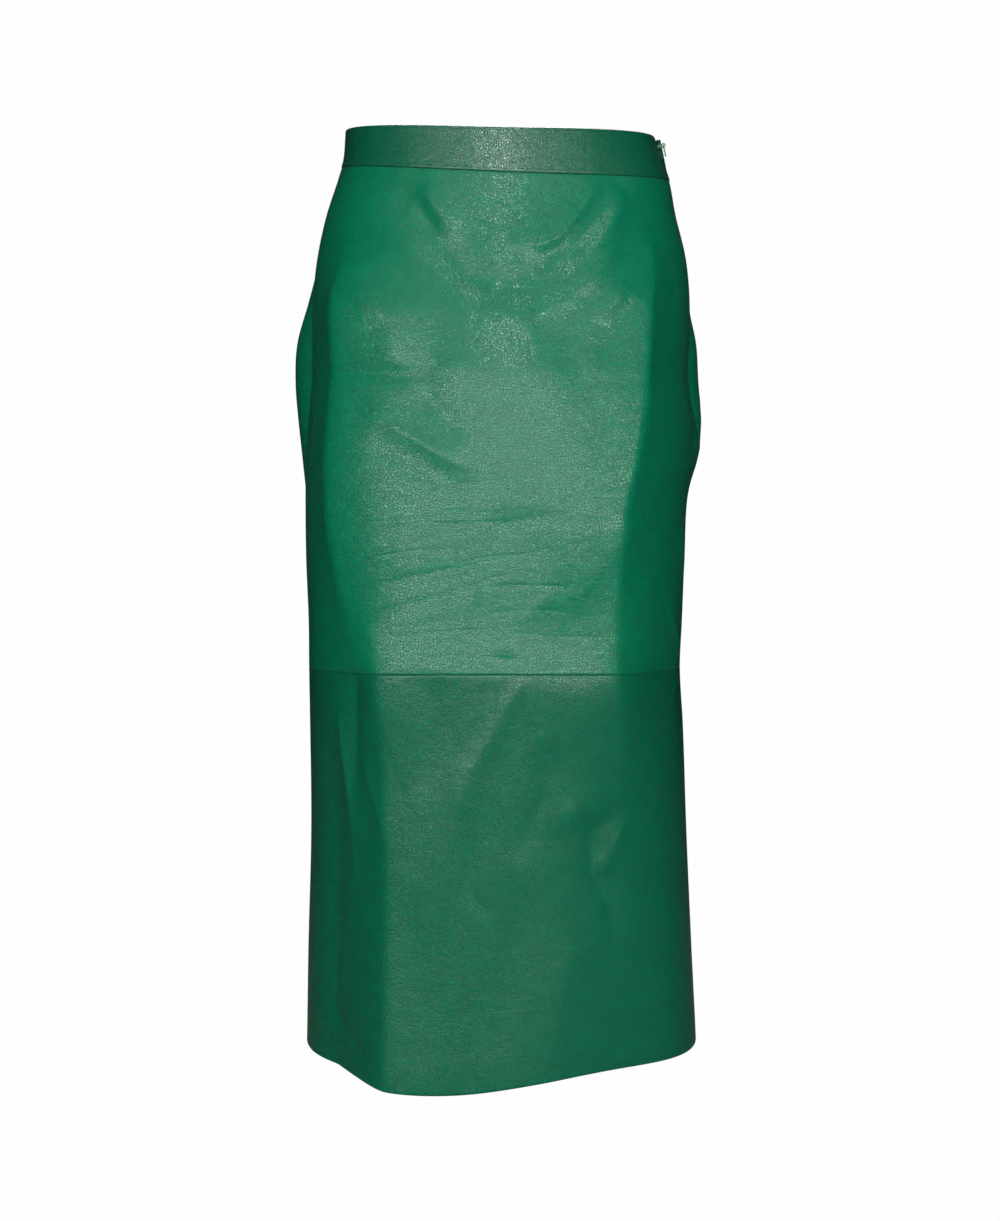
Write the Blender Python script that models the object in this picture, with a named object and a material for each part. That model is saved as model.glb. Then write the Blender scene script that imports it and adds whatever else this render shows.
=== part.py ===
"""Leather pencil skirt, in the hollow form that it keeps when it is worn.

Front and back panels above and below a level thigh seam, a waistband in two strips,
and a concealed zip in the wearer's left side seam. Every piece is a wall on one closed
form: an oval for each level, read from SECTIONS, with the largest folds of FOLDS.

Frame: +Z up, the front faces -Y, the wearer's left is +X, and the origin is the middle
of the waistband's hollow. A place on the leather is a turn and a level. The turn is in
degrees: 0 at the plain side seam, 90 at the middle of the front, 180 at the zip's seam
and 270 at the middle of the back.
"""

from collections import namedtuple

import bmesh
import bpy
import numpy as np
from mathutils import Matrix, Vector

MM = 0.001

# Leather and seams
LEATHER = 1.6 * MM
BAND_PROUD = 0.5 * MM  # the waistband stands this far out from the panels
BAND_DEPTH = 2.0 * MM  # and reaches this far in
GAP = 0.3 * MM  # between neighbouring pieces
HEM_TURN_UP = 32 * MM
HEM_WALL = 2 * LEATHER

# The form, a level cut of it to a row, in millimetres. left and right are the side
# seams (left is -X, the plain seam) and front and back the middle of each panel, from
# the axis. A swell is how far the back panel stands out behind that side's seam.
Section = namedtuple("Section", "level left right front back left_swell right_swell")
SECTIONS = (
    Section(30, 125, 119, 89, 96, 0, 0),
    Section(12, 126, 126, 90.5, 97, 0, 0),
    Section(-5, 127.5, 132.3, 92, 99, 0, 0),
    Section(-20, 131.8, 137.5, 93.5, 101, 0, 0),
    Section(-50, 141.5, 143.3, 97, 107, 0, 0),
    Section(-84, 148.7, 151.3, 101.5, 116, 2, 2),
    Section(-117, 152, 154.3, 106, 123, 13, 3),
    Section(-150, 152.7, 154, 110.5, 129, 26, 16),
    Section(-183, 153, 152.5, 114, 132, 28, 21),
    Section(-216, 155.5, 156, 116.5, 132, 21, 17),
    Section(-249, 157.7, 155.5, 119, 129, 12, 4),
    Section(-281, 158, 152, 120.5, 125, 5, 0),
    Section(-330, 157.5, 150, 122.5, 119, 0, 0),
    Section(-380, 155.6, 148, 124.5, 115.5, 0, 0),
    Section(-415, 155.3, 146.4, 126, 115, 0, 0),
    Section(-460, 154.6, 148.7, 125.5, 115, 0, 0),
    Section(-550, 154, 151.8, 124.5, 117, 0, 0),
    Section(-640, 156.2, 155.8, 125.5, 121, 0, 0),
    Section(-726, 157.5, 160, 128, 126, 0, 0),
    Section(-740, 157.8, 160.5, 128.2, 126.6, 0, 0),
)
FRONT_SQUARENESS = 2.3  # a plain ellipse is 2
BACK_SQUARENESS = 2.15
SWELL_EASE = 9.0  # degrees behind the seam over which a swell comes up

# The largest folds, ridges positive and troughs negative: two ends, the height at each
# and the half width, in degrees and millimetres
Fold = namedtuple("Fold", "turn0 level0 height0 turn1 level1 height1 reach")
FOLDS = (
    Fold(50, -30, -1.0, 84, -118, -2.4, 15),
    Fold(128, -38, -1.6, 96, -120, -2.6, 15),
    Fold(66, -40, 1.0, 74, -70, 1.4, 12),
    Fold(58, -238, -0.7, 80, -272, -0.4, 14),
    Fold(180, -205, 2.0, 180, -238, 7.0, 26),
    Fold(129, -225, 3.0, 122, -420, 9.0, 46),
    Fold(57, -330, 2.0, 56, -430, 3.0, 46),
    Fold(104, -425, 1.8, 94, -550, 0.6, 20),
    Fold(60, -500, 0.0, 60, -735, 7.0, 30),
    Fold(122, -500, 0.0, 127, -735, -13.0, 58),
    Fold(238, -62, -2.0, 262, -80, -2.6, 15),
    Fold(304, -58, -2.2, 279, -84, -2.2, 15),
    Fold(226, -292, -2.2, 262, -322, -3.2, 22),
    Fold(312, -286, -2.6, 280, -318, -2.6, 22),
    Fold(246, -500, 0.0, 242, -735, -8.0, 40),
    Fold(293, -480, 0.0, 298, -735, 6.0, 34),
)
FOLD_ARC = 2.5 * MM  # length of one degree of turn, for the distance to a fold

# The corners where the flat front turns to each side. `points` are the line of the
# crest: turn in degrees, level and height in mm. `crest` is how round it is, and
# `before` and `after` the reach of its flanks in mm, before and after the line as the
# turn grows where the line runs down, and below and above a level line.
Corner = namedtuple("Corner", "before after crest points")
CORNERS = (
    Corner(44, 26, 3, (
        (138, -56, 0), (135, -96, 8), (131.5, -130, 14), (130.5, -165, 15), (129.5, -195, 14.5),
        (127, -225, 14.5), (125, -255, 15), (122.5, -290, 14.5), (121.5, -330, 11.5),
        (122, -375, 8), (123, -420, 5.5), (125, -465, 4), (129, -540, 0))),
    Corner(22, 50, 5, (
        (43, -60, 0), (42, -100, 8), (41, -132, 14), (41, -165, 12.5), (41, -205, 12),
        (41, -250, 13), (42, -300, 12), (45, -350, 8), (50, -390, 4), (54, -420, 1))),
    Corner(22, 55, 4, (
        (51, -350, 0), (55, -380, 4), (57, -412, 7), (59, -480, 9), (60.5, -600, 10),
        (61, -735, 10))),
    Corner(24, 24, 6, ((34, -440, 0), (36, -520, -4), (38, -735, -5))),
    Corner(36, 40, 4, (
        (40, -414, 0), (56, -413, 1.4), (72, -413, 2.2), (98, -412, 2.2), (110, -412, 0))),
    Corner(70, 20, 8, ((98, -322, 0), (106, -314, 1.6), (115, -313, 2.8), (123, -322, 2.0), (130, -336, 0))),
)

# Levels of each edge at the plain side, the front, the zip side and the back
BAND_TOP = (20 * MM, 6.5 * MM, 14.5 * MM, 18.5 * MM)
BAND_BOTTOM = (-10.5 * MM, -28.5 * MM, -21.5 * MM, -14.5 * MM)
THIGH_SEAM = (-416 * MM, -411.5 * MM, -416 * MM, -415 * MM)
HEM = (-720 * MM, -716 * MM, -720 * MM, -722 * MM)
HEM_DIP = 11 * MM  # the hem hangs lower left of the middle of the front
HEM_DIP_TURN = 75
HEM_DIP_REACH = 27

# Zip
FLARE = 6.5 * MM  # the back strip's top corner stands this far out at the zip
FLARE_EASE = 9.0
ZIP_BAND_GAP = 1.6 * MM
TAPE_CLEARANCE = 0.85 * MM
TAPE_INNER_EDGE = 2.3 * MM
TAPE_OUTER_EDGE = 11.5 * MM
TAPE = 0.6 * MM
TAPE_BELOW_TOP = 2.5 * MM
TAPE_COLUMNS = 4
COIL_WIDTH = 4 * MM
COIL_DEPTH = 1.5 * MM
COIL_BELOW_SLIDER = 1.2 * MM
SLIDER_LEVEL = 9 * MM
SLIDER_WIDTH = 6 * MM
SLIDER_HEIGHT = 9 * MM
SLIDER_DEPTH = 3.2 * MM
SLIDER_CLEARANCE = 1.2 * MM  # the tapes lean more than the slider does
NECK_HEIGHT = 2.6 * MM
CROWN_RADIUS = 1.9 * MM
CROWN_HOLE = 1.0 * MM  # radius
CROWN_WIDTH = 0.9 * MM
CROWN_SIDES = 14
PULL_STAND_OFF = 1.1 * MM  # from the band's face to the pull's axis
PULL_LENGTH = 9.5 * MM  # below its axis
PULL_TOP = 0.5 * MM  # above its axis
PULL_NECK_WIDTH = 2.9 * MM
PULL_END_WIDTH = 3.6 * MM
PULL_THICKNESS = 0.8 * MM
PULL_HOLE_LENGTH = 2.4 * MM
PULL_HOLE_WIDTH = 1.5 * MM
PULL_BAR = 0.4 * MM  # how far below the axis the eye starts
PULL_END_SIDES = 8

# Mesh
COLUMNS = 23
CROWDING = 0.1  # how far the columns draw together towards the side seams
UPPER_ROWS = 23
BAND_ROWS = 4
ZIP_ROWS = 13  # the zip runs down the first rows of the upper panels
LOWER_ROWS = 12

GREEN = (0.006, 0.104, 0.052, 1.0)
DARK_GREEN = (0.004, 0.062, 0.032, 1.0)
PAINTED_GREEN = (0.03, 0.17, 0.09, 1.0)


def clear_scene():
    for thing in list(bpy.data.objects):
        bpy.data.objects.remove(thing)


def finish_of(name, colour, roughness):
    material = bpy.data.materials.new(name)
    material.use_nodes = True
    shader = material.node_tree.nodes["Principled BSDF"]
    shader.inputs["Base Color"].default_value = colour
    shader.inputs["Roughness"].default_value = roughness
    shader.inputs["Metallic"].default_value = 0.0
    return material


# The form


def cubic(knots, values, slopes, place):
    """A smooth curve at any place: over the share s of each span between two knots it is
    the cubic that has their values and slopes at its two ends."""
    index = np.clip(np.searchsorted(knots, place) - 1, 0, len(knots) - 2)
    span = knots[index + 1] - knots[index]
    share = (place - knots[index]) / span
    return (
        values[index] * (2 * share**3 - 3 * share**2 + 1)
        + values[index + 1] * (3 * share**2 - 2 * share**3)
        + slopes[index] * span * (share**3 - 2 * share**2 + share)
        + slopes[index + 1] * span * (share**3 - share**2)
    )


def along(level, column):
    """A column of SECTIONS in metres at any level, on a cubic through its rows."""
    rows = SECTIONS[::-1]
    levels = np.array([row.level for row in rows]) * MM
    values = np.array([getattr(row, column) for row in rows]) * MM
    return cubic(levels, values, np.gradient(values, levels), level)


def round_through(turn, sides):
    """A level that swings smoothly round through its values at the four sides."""
    plain, front, zip_side, back = sides
    angle = np.radians(turn)
    return (
        (plain + front + zip_side + back) / 4
        + (plain - zip_side) / 2 * np.cos(angle)
        + (front - back) / 2 * np.sin(angle)
        + (plain + zip_side - front - back) / 4 * np.cos(2 * angle)
    )


def top_edge(turn):
    return round_through(turn, BAND_TOP)


def band_bottom(turn):
    return round_through(turn, BAND_BOTTOM)


def panel_top(turn):
    return band_bottom(turn) - GAP


def thigh_seam(turn):
    return round_through(turn, THIGH_SEAM)


def below_thigh_seam(turn):
    return thigh_seam(turn) - GAP


def hem(turn):
    dip = np.exp(-(((turn - HEM_DIP_TURN) / HEM_DIP_REACH) ** 2))
    return round_through(turn, HEM) - HEM_DIP * dip


def oval(turn, level):
    """The form before its folds: a squared ellipse at each level, with its own half
    width at each side seam and its own depth to the front and the back."""
    angle = np.radians(turn)
    cosine, sine = np.cos(angle), np.sin(angle)
    in_front = sine >= 0
    power = np.where(in_front, FRONT_SQUARENESS, BACK_SQUARENESS)
    reach = (np.abs(cosine) ** power + np.abs(sine) ** power) ** (-1 / power)
    plain = cosine > 0
    half = np.where(plain, along(level, "left"), along(level, "right"))
    swell = np.where(plain, along(level, "left_swell"), along(level, "right_swell"))
    swell = np.where(in_front, 0.0, np.maximum(swell, 0.0))
    behind = np.where(plain, 360 - turn, turn - 180)
    ease = np.exp(-np.abs(behind) / SWELL_EASE)
    width = (half + swell) * np.abs(cosine) * reach - swell * ease
    depth = np.where(in_front, along(level, "front"), along(level, "back"))
    return np.stack([np.where(plain, -width, width), -depth * sine * reach, level + 0 * turn], -1)


def outward(turn, level):
    """Unit normals of the oval, from the way it runs round and up."""
    step, rise = 0.4, 2 * MM
    # The form has a corner at each side seam, so the slope is taken on one side of it.
    low = np.where(turn % 180 < step, turn, turn - step)
    high = np.where(180 - turn % 180 <= step, turn, turn + step)
    run = oval(high, level) - oval(low, level)
    climb = oval(turn, level + rise) - oval(turn, level - rise)
    normal = np.cross(run, climb)
    return normal / np.linalg.norm(normal, axis=-1, keepdims=True)


def corner_lift(place, corner):
    """The corner's height at the nearest point of its line, times exp(-d), where d is
    the rounded distance from the line over the reach of that flank."""
    line = np.array(corner.points, float) * (FOLD_ARC, MM, MM)
    lengths = np.linalg.norm(np.diff(line[:, :2], axis=0), axis=1)
    knots = np.concatenate([[0], np.cumsum(lengths)])
    nearest = np.full(place.shape[:-1], np.inf)
    along_line = np.zeros(place.shape[:-1])
    flank = np.ones(place.shape[:-1])
    for knot, length, start, end in zip(knots, lengths, line[:-1], line[1:]):
        run = end[:2] - start[:2]
        share = np.clip((place - start[:2]) @ run / (run @ run), 0, 1)
        offset = place - start[:2] - share[..., None] * run
        away = np.hypot(offset[..., 0], offset[..., 1])
        side = run[0] * offset[..., 1] - run[1] * offset[..., 0]
        near = away < nearest
        nearest = np.where(near, away, nearest)
        along_line = np.where(near, knot + share * length, along_line)
        flank = np.where(near, np.where(side > 0, corner.after, corner.before) * MM, flank)
    slopes = np.gradient(line[:, 2], knots)
    slopes[[0, -1]] = 0
    height = cubic(knots, line[:, 2], slopes, along_line)
    crest = corner.crest * MM
    return height * np.exp(-(np.sqrt(nearest**2 + crest**2) - crest) / flank)


def lift(turn, level):
    """How far the folds, and the back strip's open corner, stand out of the oval."""
    place = np.stack([turn * FOLD_ARC, level + 0 * turn], -1)
    total = np.zeros(place.shape[:-1])
    for fold in FOLDS:
        start = np.array([fold.turn0 * FOLD_ARC, fold.level0 * MM])
        run = np.array([fold.turn1 * FOLD_ARC, fold.level1 * MM]) - start
        share = np.clip((place - start) @ run / (run @ run), 0, 1)
        away = np.linalg.norm(place - start - share[..., None] * run, axis=-1)
        height = fold.height0 + share * (fold.height1 - fold.height0)
        total += height * MM * np.exp(-((away / (fold.reach * MM)) ** 2))
    for corner in CORNERS:
        total += corner_lift(place, corner)
    up_band = (level - band_bottom(turn)) / (top_edge(turn) - band_bottom(turn))
    behind_zip = np.where(turn > 180, np.exp(-(turn - 180) / FLARE_EASE), 0)
    return total + FLARE * np.clip(up_band, 0, 1.2) * behind_zip


def spoke(turn):
    """The level direction straight out from the axis, in which the folds are lifted."""
    angle = np.radians(turn)
    return np.stack([-np.cos(angle), -np.sin(angle), 0 * angle], -1)


def leather(turn, level, out=0.0):
    """Points that lie `out` metres outside the leather's outer face."""
    turn, level, out = np.broadcast_arrays(np.asarray(turn, float), level, out)
    folded = oval(turn, level) + lift(turn, level)[..., None] * spoke(turn)
    return folded + out[..., None] * outward(turn, level)


def off_seam(seam, distance, level):
    """The turn that lies `distance` along the leather from the side seam at turn
    `seam`, positive where the turn grows."""
    column = "front" if (seam == 0) == (distance > 0) and seam < 360 else "back"
    return seam + np.degrees(distance / along(level, column))


# Solids


def add_object(name, points, faces, material):
    mesh = bpy.data.meshes.new(name)
    mesh.from_pydata([tuple(point) for point in points], [], faces)
    mesh.materials.append(material)
    mesh.shade_smooth()
    mesh.set_sharp_from_angle(angle=np.radians(40))
    thing = bpy.data.objects.new(name, mesh)
    bpy.context.scene.collection.objects.link(thing)
    return thing


def wall(name, outer, inner, material):
    """One closed wall between two grids of points, rows from top to bottom and
    columns in the way the turn grows."""
    rows, columns = outer.shape[:2]
    index = np.arange(rows * columns).reshape(rows, columns)
    under = index + rows * columns

    def quads(a, b, c, d):
        return np.stack([a.ravel(), b.ravel(), c.ravel(), d.ravel()], -1).tolist()

    def skin(grid):
        return grid[:-1, :-1], grid[1:, :-1], grid[1:, 1:], grid[:-1, 1:]

    def rim(top, low):
        return quads(top[:-1], top[1:], low[1:], low[:-1])

    faces = quads(*skin(index)) + quads(*skin(under)[::-1])
    faces += rim(index[0], under[0]) + rim(under[-1], index[-1])
    faces += rim(under[:, 0], index[:, 0]) + rim(index[:, -1], under[:, -1])
    points = np.concatenate([outer.reshape(-1, 3), inner.reshape(-1, 3)])
    return add_object(name, points, faces, material)


def between(start, end, shares):
    return start + (end - start) * shares


def panel_grid(seam, top, bottom, shares, gap):
    """Turn and level of each point of a piece from the side seam at `seam` to the
    next, `gap` clear of the middle of each seam, with a row at each share of the way
    from the edge `top` to the edge `bottom`."""
    shares = shares[:, None]
    first = off_seam(seam, gap, between(top(seam), bottom(seam), shares))
    last = off_seam(seam + 180, -gap, between(top(seam + 180), bottom(seam + 180), shares))
    even = np.linspace(0, 1, COLUMNS)
    turn = between(first, last, even - CROWDING * np.sin(2 * np.pi * even))
    return turn, between(top(turn), bottom(turn), shares)


def add_upper_panel(name, seam, material):
    shares = np.linspace(0, 1, UPPER_ROWS)
    turn, level = panel_grid(seam, panel_top, thigh_seam, shares, GAP / 2)
    wall(name, leather(turn, level), leather(turn, level, -LEATHER), material)


def add_lower_panel(name, seam, material):
    """A panel whose lowest strip is turned up inside, so that its wall is double."""
    length = below_thigh_seam(seam) - hem(seam)
    fold = 1 - HEM_TURN_UP / length
    step = LEATHER / length
    shares = np.append(np.linspace(0, fold, LOWER_ROWS), (fold + step, (1 + fold) / 2, 1))
    turn, level = panel_grid(seam, below_thigh_seam, hem, shares, GAP / 2)
    depth = np.where(shares > fold, HEM_WALL, LEATHER)[:, None]
    wall(name, leather(turn, level), leather(turn, level, -depth), material)


def add_band_strip(name, seam, material):
    shares = np.linspace(0, 1, BAND_ROWS)
    turn, level = panel_grid(seam, top_edge, band_bottom, shares, GAP / 2)
    zip_side = turn[:, -1:] if seam == 0 else turn[:, :1]
    extra = (ZIP_BAND_GAP - GAP) / 2
    shift = off_seam(180, -extra if seam == 0 else extra, level[:, :1]) - 180
    turn = turn + shift * np.exp(-np.abs(turn - zip_side))
    wall(name, leather(turn, level, BAND_PROUD), leather(turn, level, -BAND_DEPTH), material)


# Zip


def zip_levels(top, rows):
    """Levels down the zip's seam from `top`: a few in the band, then those of the
    upper panels' rows, so that the zip bends where they do."""
    band = np.linspace(top, band_bottom(180), BAND_ROWS)
    panel = np.linspace(panel_top(180), thigh_seam(180), UPPER_ROWS)[:rows]
    return np.append(band[:-1], panel)[:, None]


def inside_face(level):
    """How deep the tape's face lies: inside the panel's wall, or the band's above."""
    return np.where(level < panel_top(180) - MM, LEATHER, BAND_DEPTH) + TAPE_CLEARANCE


def add_tape(name, sign, material):
    seam_level = zip_levels(top_edge(180) - TAPE_BELOW_TOP, ZIP_ROWS + 1)
    near = off_seam(180, sign * TAPE_INNER_EDGE, seam_level)
    far = off_seam(180, sign * TAPE_OUTER_EDGE, seam_level)
    first, last = (near, far) if sign > 0 else (far, near)
    turn = between(first, last, np.linspace(0, 1, TAPE_COLUMNS))
    level = seam_level + 0 * turn
    depth = inside_face(level)
    wall(name, leather(turn, level, -depth), leather(turn, level, -depth - TAPE), material)


def add_coil(material):
    """A flat bar down the inside of the seam, closed from the slider to its end."""
    level = zip_levels(SLIDER_LEVEL - SLIDER_HEIGHT / 2 - COIL_BELOW_SLIDER, ZIP_ROWS)
    seam = leather(180.0, level, -inside_face(level))
    across = np.array([-COIL_WIDTH / 2, COIL_WIDTH / 2])[:, None] * np.array([0, 1, 0])
    outer = seam + across
    wall("zip_coil", outer, outer - np.array([COIL_DEPTH, 0, 0]), material)


def pull_frame():
    """The pull's axis: a point outside the back strip's corner, with X along the axis
    to the back, Y out of the band and Z up the band's slope."""
    top = leather(180.5, np.array(SLIDER_LEVEL + 4 * MM), BAND_PROUD)
    low = leather(180.5, np.array(SLIDER_LEVEL - 12 * MM), BAND_PROUD)
    up = Vector((top[0] - low[0], 0, top[2] - low[2])).normalized()
    axis = Vector((0, 1, 0))
    out = up.cross(axis)
    out = out if out.x > 0 else -out
    face = leather(180.5, np.array(SLIDER_LEVEL), BAND_PROUD)
    centre = Vector((face[0], 0, face[2])) + out * PULL_STAND_OFF
    turned = Matrix((axis, out, up)).transposed().to_4x4()
    return Matrix.Translation(centre) @ turned


def box_mesh(name, low, high, material=None):
    across, deep, tall = zip(low, high)
    corners = [(x, y, z) for x in across for y in deep for z in tall]
    faces = [(0, 1, 3, 2), (4, 6, 7, 5), (0, 4, 5, 1), (2, 3, 7, 6), (0, 2, 6, 4), (1, 5, 7, 3)]
    mesh = bpy.data.meshes.new(name)
    mesh.from_pydata(corners, [], faces)
    if material:
        mesh.materials.append(material)
    thing = bpy.data.objects.new(name, mesh)
    bpy.context.scene.collection.objects.link(thing)
    return thing


def disc_mesh(name, radius, width, sides):
    """A round disc whose axis is X."""
    mesh = bpy.data.meshes.new(name)
    shape = bmesh.new()
    turned = Matrix.Rotation(np.pi / 2, 4, "Y")
    bmesh.ops.create_cone(
        shape,
        cap_ends=True,
        segments=sides,
        radius1=radius,
        radius2=radius,
        depth=width,
        matrix=turned,
    )
    shape.to_mesh(mesh)
    shape.free()
    thing = bpy.data.objects.new(name, mesh)
    bpy.context.scene.collection.objects.link(thing)
    return thing


def combine(thing, other, operation):
    """A Boolean with a helper, which is then hidden."""
    modifier = thing.modifiers.new(other.name, "BOOLEAN")
    modifier.operation = operation
    modifier.object = other
    other.hide_render = True
    other.display_type = "WIRE"


def add_slider(frame, material):
    """The slider's body inside the seam, a neck out through the gap of the band, and
    the round crown that the pull hangs on. Built in the pull's frame."""
    depth = inside_face(SLIDER_LEVEL) + TAPE + SLIDER_CLEARANCE
    tape_face = leather(180.0, np.array(SLIDER_LEVEL), -depth)
    inside = (frame.inverted() @ Vector(tape_face)).y
    half_width, half_height = SLIDER_WIDTH / 2, SLIDER_HEIGHT / 2
    slider = box_mesh(
        "zip_slider",
        (-half_width, inside - SLIDER_DEPTH, -half_height),
        (half_width, inside, half_height),
        material,
    )
    half, tall = CROWN_WIDTH / 2, NECK_HEIGHT / 2
    neck_end = -(CROWN_HOLE + 0.1 * MM)
    neck = box_mesh("neck", (-half, inside - MM, -tall), (half, neck_end, tall))
    crown = disc_mesh("crown", CROWN_RADIUS, CROWN_WIDTH, CROWN_SIDES)
    hole = disc_mesh("crown_hole", CROWN_HOLE, 3 * CROWN_WIDTH, CROWN_SIDES - 2)
    combine(slider, neck, "UNION")
    combine(slider, crown, "UNION")
    combine(slider, hole, "DIFFERENCE")
    for thing in (slider, neck, crown, hole):
        thing.matrix_world = frame


def add_pull(frame, material):
    """A tab that widens to a round end, with an eye that the crown passes through."""
    end = PULL_END_WIDTH / 2
    middle = PULL_LENGTH - end
    arc = np.radians(np.linspace(0, -180, PULL_END_SIDES + 1))
    outline = [(-PULL_NECK_WIDTH / 2, PULL_TOP), (PULL_NECK_WIDTH / 2, PULL_TOP)]
    outline += [(end * np.cos(angle), end * np.sin(angle) - middle) for angle in arc]
    half = PULL_THICKNESS / 2
    count = len(outline)
    points = [(x, y, z) for y in (-half, half) for x, z in outline]
    sides = [(i, (i + 1) % count, count + (i + 1) % count, count + i) for i in range(count)]
    faces = [tuple(range(count))[::-1], tuple(range(count, 2 * count))] + sides
    pull = add_object("zip_pull", points, faces, material)
    width = PULL_HOLE_WIDTH / 2
    low = -PULL_BAR - PULL_HOLE_LENGTH
    eye = box_mesh("eye", (-width, -MM, low), (width, MM, -PULL_BAR))
    combine(pull, eye, "DIFFERENCE")
    pull.matrix_world = frame
    eye.matrix_world = frame


def main():
    clear_scene()
    grain = finish_of("green_leather", GREEN, 0.38)
    tape = finish_of("zip_tape", DARK_GREEN, 0.85)
    coil = finish_of("zip_coil", DARK_GREEN, 0.5)
    enamel = finish_of("painted_zip_metal", PAINTED_GREEN, 0.35)
    add_upper_panel("front_upper", 0, grain)
    add_upper_panel("back_upper", 180, grain)
    add_lower_panel("front_lower", 0, grain)
    add_lower_panel("back_lower", 180, grain)
    add_band_strip("waistband_front", 0, grain)
    add_band_strip("waistband_back", 180, grain)
    add_tape("zip_tape_front", -1, tape)
    add_tape("zip_tape_back", 1, tape)
    add_coil(coil)
    frame = pull_frame()
    add_slider(frame, enamel)
    add_pull(frame, enamel)


main()
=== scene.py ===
"""Leather pencil skirt: its finished looks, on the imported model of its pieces.

The leather is a set of thin shells on the solids' own form, with rolled edges, the
creases of wear, topstitching, pressed seam allowances and a concealed zip.

Frame: +Z up, the front faces -Y, the wearer's left is +X. A place on the leather is a
turn and a level: the turn is in degrees, 0 at the plain side seam, 90 at the middle of
the front, 180 at the zip's seam and 270 at the middle of the back.
"""

from collections import namedtuple

import bpy
import numpy as np
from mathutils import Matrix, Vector


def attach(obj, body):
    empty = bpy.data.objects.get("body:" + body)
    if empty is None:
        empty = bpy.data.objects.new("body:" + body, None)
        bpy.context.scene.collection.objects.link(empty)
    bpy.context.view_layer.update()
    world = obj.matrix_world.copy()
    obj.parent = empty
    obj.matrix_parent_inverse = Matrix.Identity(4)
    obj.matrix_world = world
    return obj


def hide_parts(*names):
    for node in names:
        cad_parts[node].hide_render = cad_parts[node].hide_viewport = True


bl_info = {
    "name": "Leather pencil skirt",
    "version": (1, 0, 0),
    "blender": (4, 5, 0),
    "location": "3D View > Sidebar > Skirt",
    "description": "Finishes the leather, stitches and zip of a pencil skirt",
    "category": "Object",
}

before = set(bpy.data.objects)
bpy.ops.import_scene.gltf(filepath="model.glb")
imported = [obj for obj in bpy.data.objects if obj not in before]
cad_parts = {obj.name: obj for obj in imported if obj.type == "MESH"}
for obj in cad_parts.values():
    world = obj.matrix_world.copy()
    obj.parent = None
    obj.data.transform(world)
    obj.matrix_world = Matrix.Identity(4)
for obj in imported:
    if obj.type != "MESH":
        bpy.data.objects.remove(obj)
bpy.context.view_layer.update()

MM = 0.001

# The form of the solids: a level cut to a row, in millimetres
Section = namedtuple("Section", "level left right front back left_swell right_swell")
SECTIONS = (
    Section(30, 125, 119, 89, 96, 0, 0),
    Section(12, 126, 126, 90.5, 97, 0, 0),
    Section(-5, 127.5, 132.3, 92, 99, 0, 0),
    Section(-20, 131.8, 137.5, 93.5, 101, 0, 0),
    Section(-50, 141.5, 143.3, 97, 107, 0, 0),
    Section(-84, 148.7, 151.3, 101.5, 116, 2, 2),
    Section(-117, 152, 154.3, 106, 123, 13, 3),
    Section(-150, 152.7, 154, 110.5, 129, 26, 16),
    Section(-183, 153, 152.5, 114, 132, 28, 21),
    Section(-216, 155.5, 156, 116.5, 132, 21, 17),
    Section(-249, 157.7, 155.5, 119, 129, 12, 4),
    Section(-281, 158, 152, 120.5, 125, 5, 0),
    Section(-330, 157.5, 150, 122.5, 119, 0, 0),
    Section(-380, 155.6, 148, 124.5, 115.5, 0, 0),
    Section(-415, 155.3, 146.4, 126, 115, 0, 0),
    Section(-460, 154.6, 148.7, 125.5, 115, 0, 0),
    Section(-550, 154, 151.8, 124.5, 117, 0, 0),
    Section(-640, 156.2, 155.8, 125.5, 121, 0, 0),
    Section(-726, 157.5, 160, 128, 126, 0, 0),
    Section(-740, 157.8, 160.5, 128.2, 126.6, 0, 0),
)
FRONT_SQUARENESS = 2.3  # a plain ellipse is 2
BACK_SQUARENESS = 2.15
SWELL_EASE = 9.0  # degrees behind the seam over which a swell comes up

# Folds and creases, ridges positive and troughs negative. `points` are the line of the
# crease as (turn in degrees, level in mm, height in mm), and `crest` how round its top
# is in mm. `before` and `after` are the reach of its flanks in mm: before and after the
# line as the turn grows where the line runs down, and below and above a level line.
Crease = namedtuple("Crease", "before after crest points")
FOLD_CREST = 4.0  # of a fold's reach, which rounds it like a bell curve


def crease(before, after, crest, *points):
    """A crease whose points have a height of zero where none is given."""
    return Crease(before, after, crest, tuple((*point, 0)[:3] for point in points))


def fold(turn0, level0, height0, turn1, level1, height1, reach):
    """A straight fold of the solids, as soft as a bell curve of that reach."""
    flank = reach / (2 * FOLD_CREST)
    return crease(flank, flank, FOLD_CREST * reach, (turn0, level0, height0), (turn1, level1, height1))


FOLDS = (
    fold(50, -30, -1.0, 84, -118, -2.4, 15),
    fold(128, -38, -1.6, 96, -120, -2.6, 15),
    fold(66, -40, 1.0, 74, -70, 1.4, 12),
    fold(58, -238, -0.7, 80, -272, -0.4, 14),
    fold(180, -205, 2.0, 180, -238, 7.0, 26),
    fold(129, -225, 3.0, 122, -420, 9.0, 46),
    fold(57, -330, 2.0, 56, -430, 3.0, 46),
    fold(104, -425, 1.8, 94, -550, 0.6, 20),
    fold(60, -500, 0.0, 60, -735, 7.0, 30),
    fold(122, -500, 0.0, 127, -735, -13.0, 58),
    fold(238, -62, -2.0, 262, -80, -2.6, 15),
    fold(304, -58, -2.2, 279, -84, -2.2, 15),
    fold(226, -292, -2.2, 262, -322, -3.2, 22),
    fold(312, -286, -2.6, 280, -318, -2.6, 22),
    fold(246, -500, 0.0, 242, -735, -8.0, 40),
    fold(293, -480, 0.0, 298, -735, 6.0, 34),
)
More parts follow.
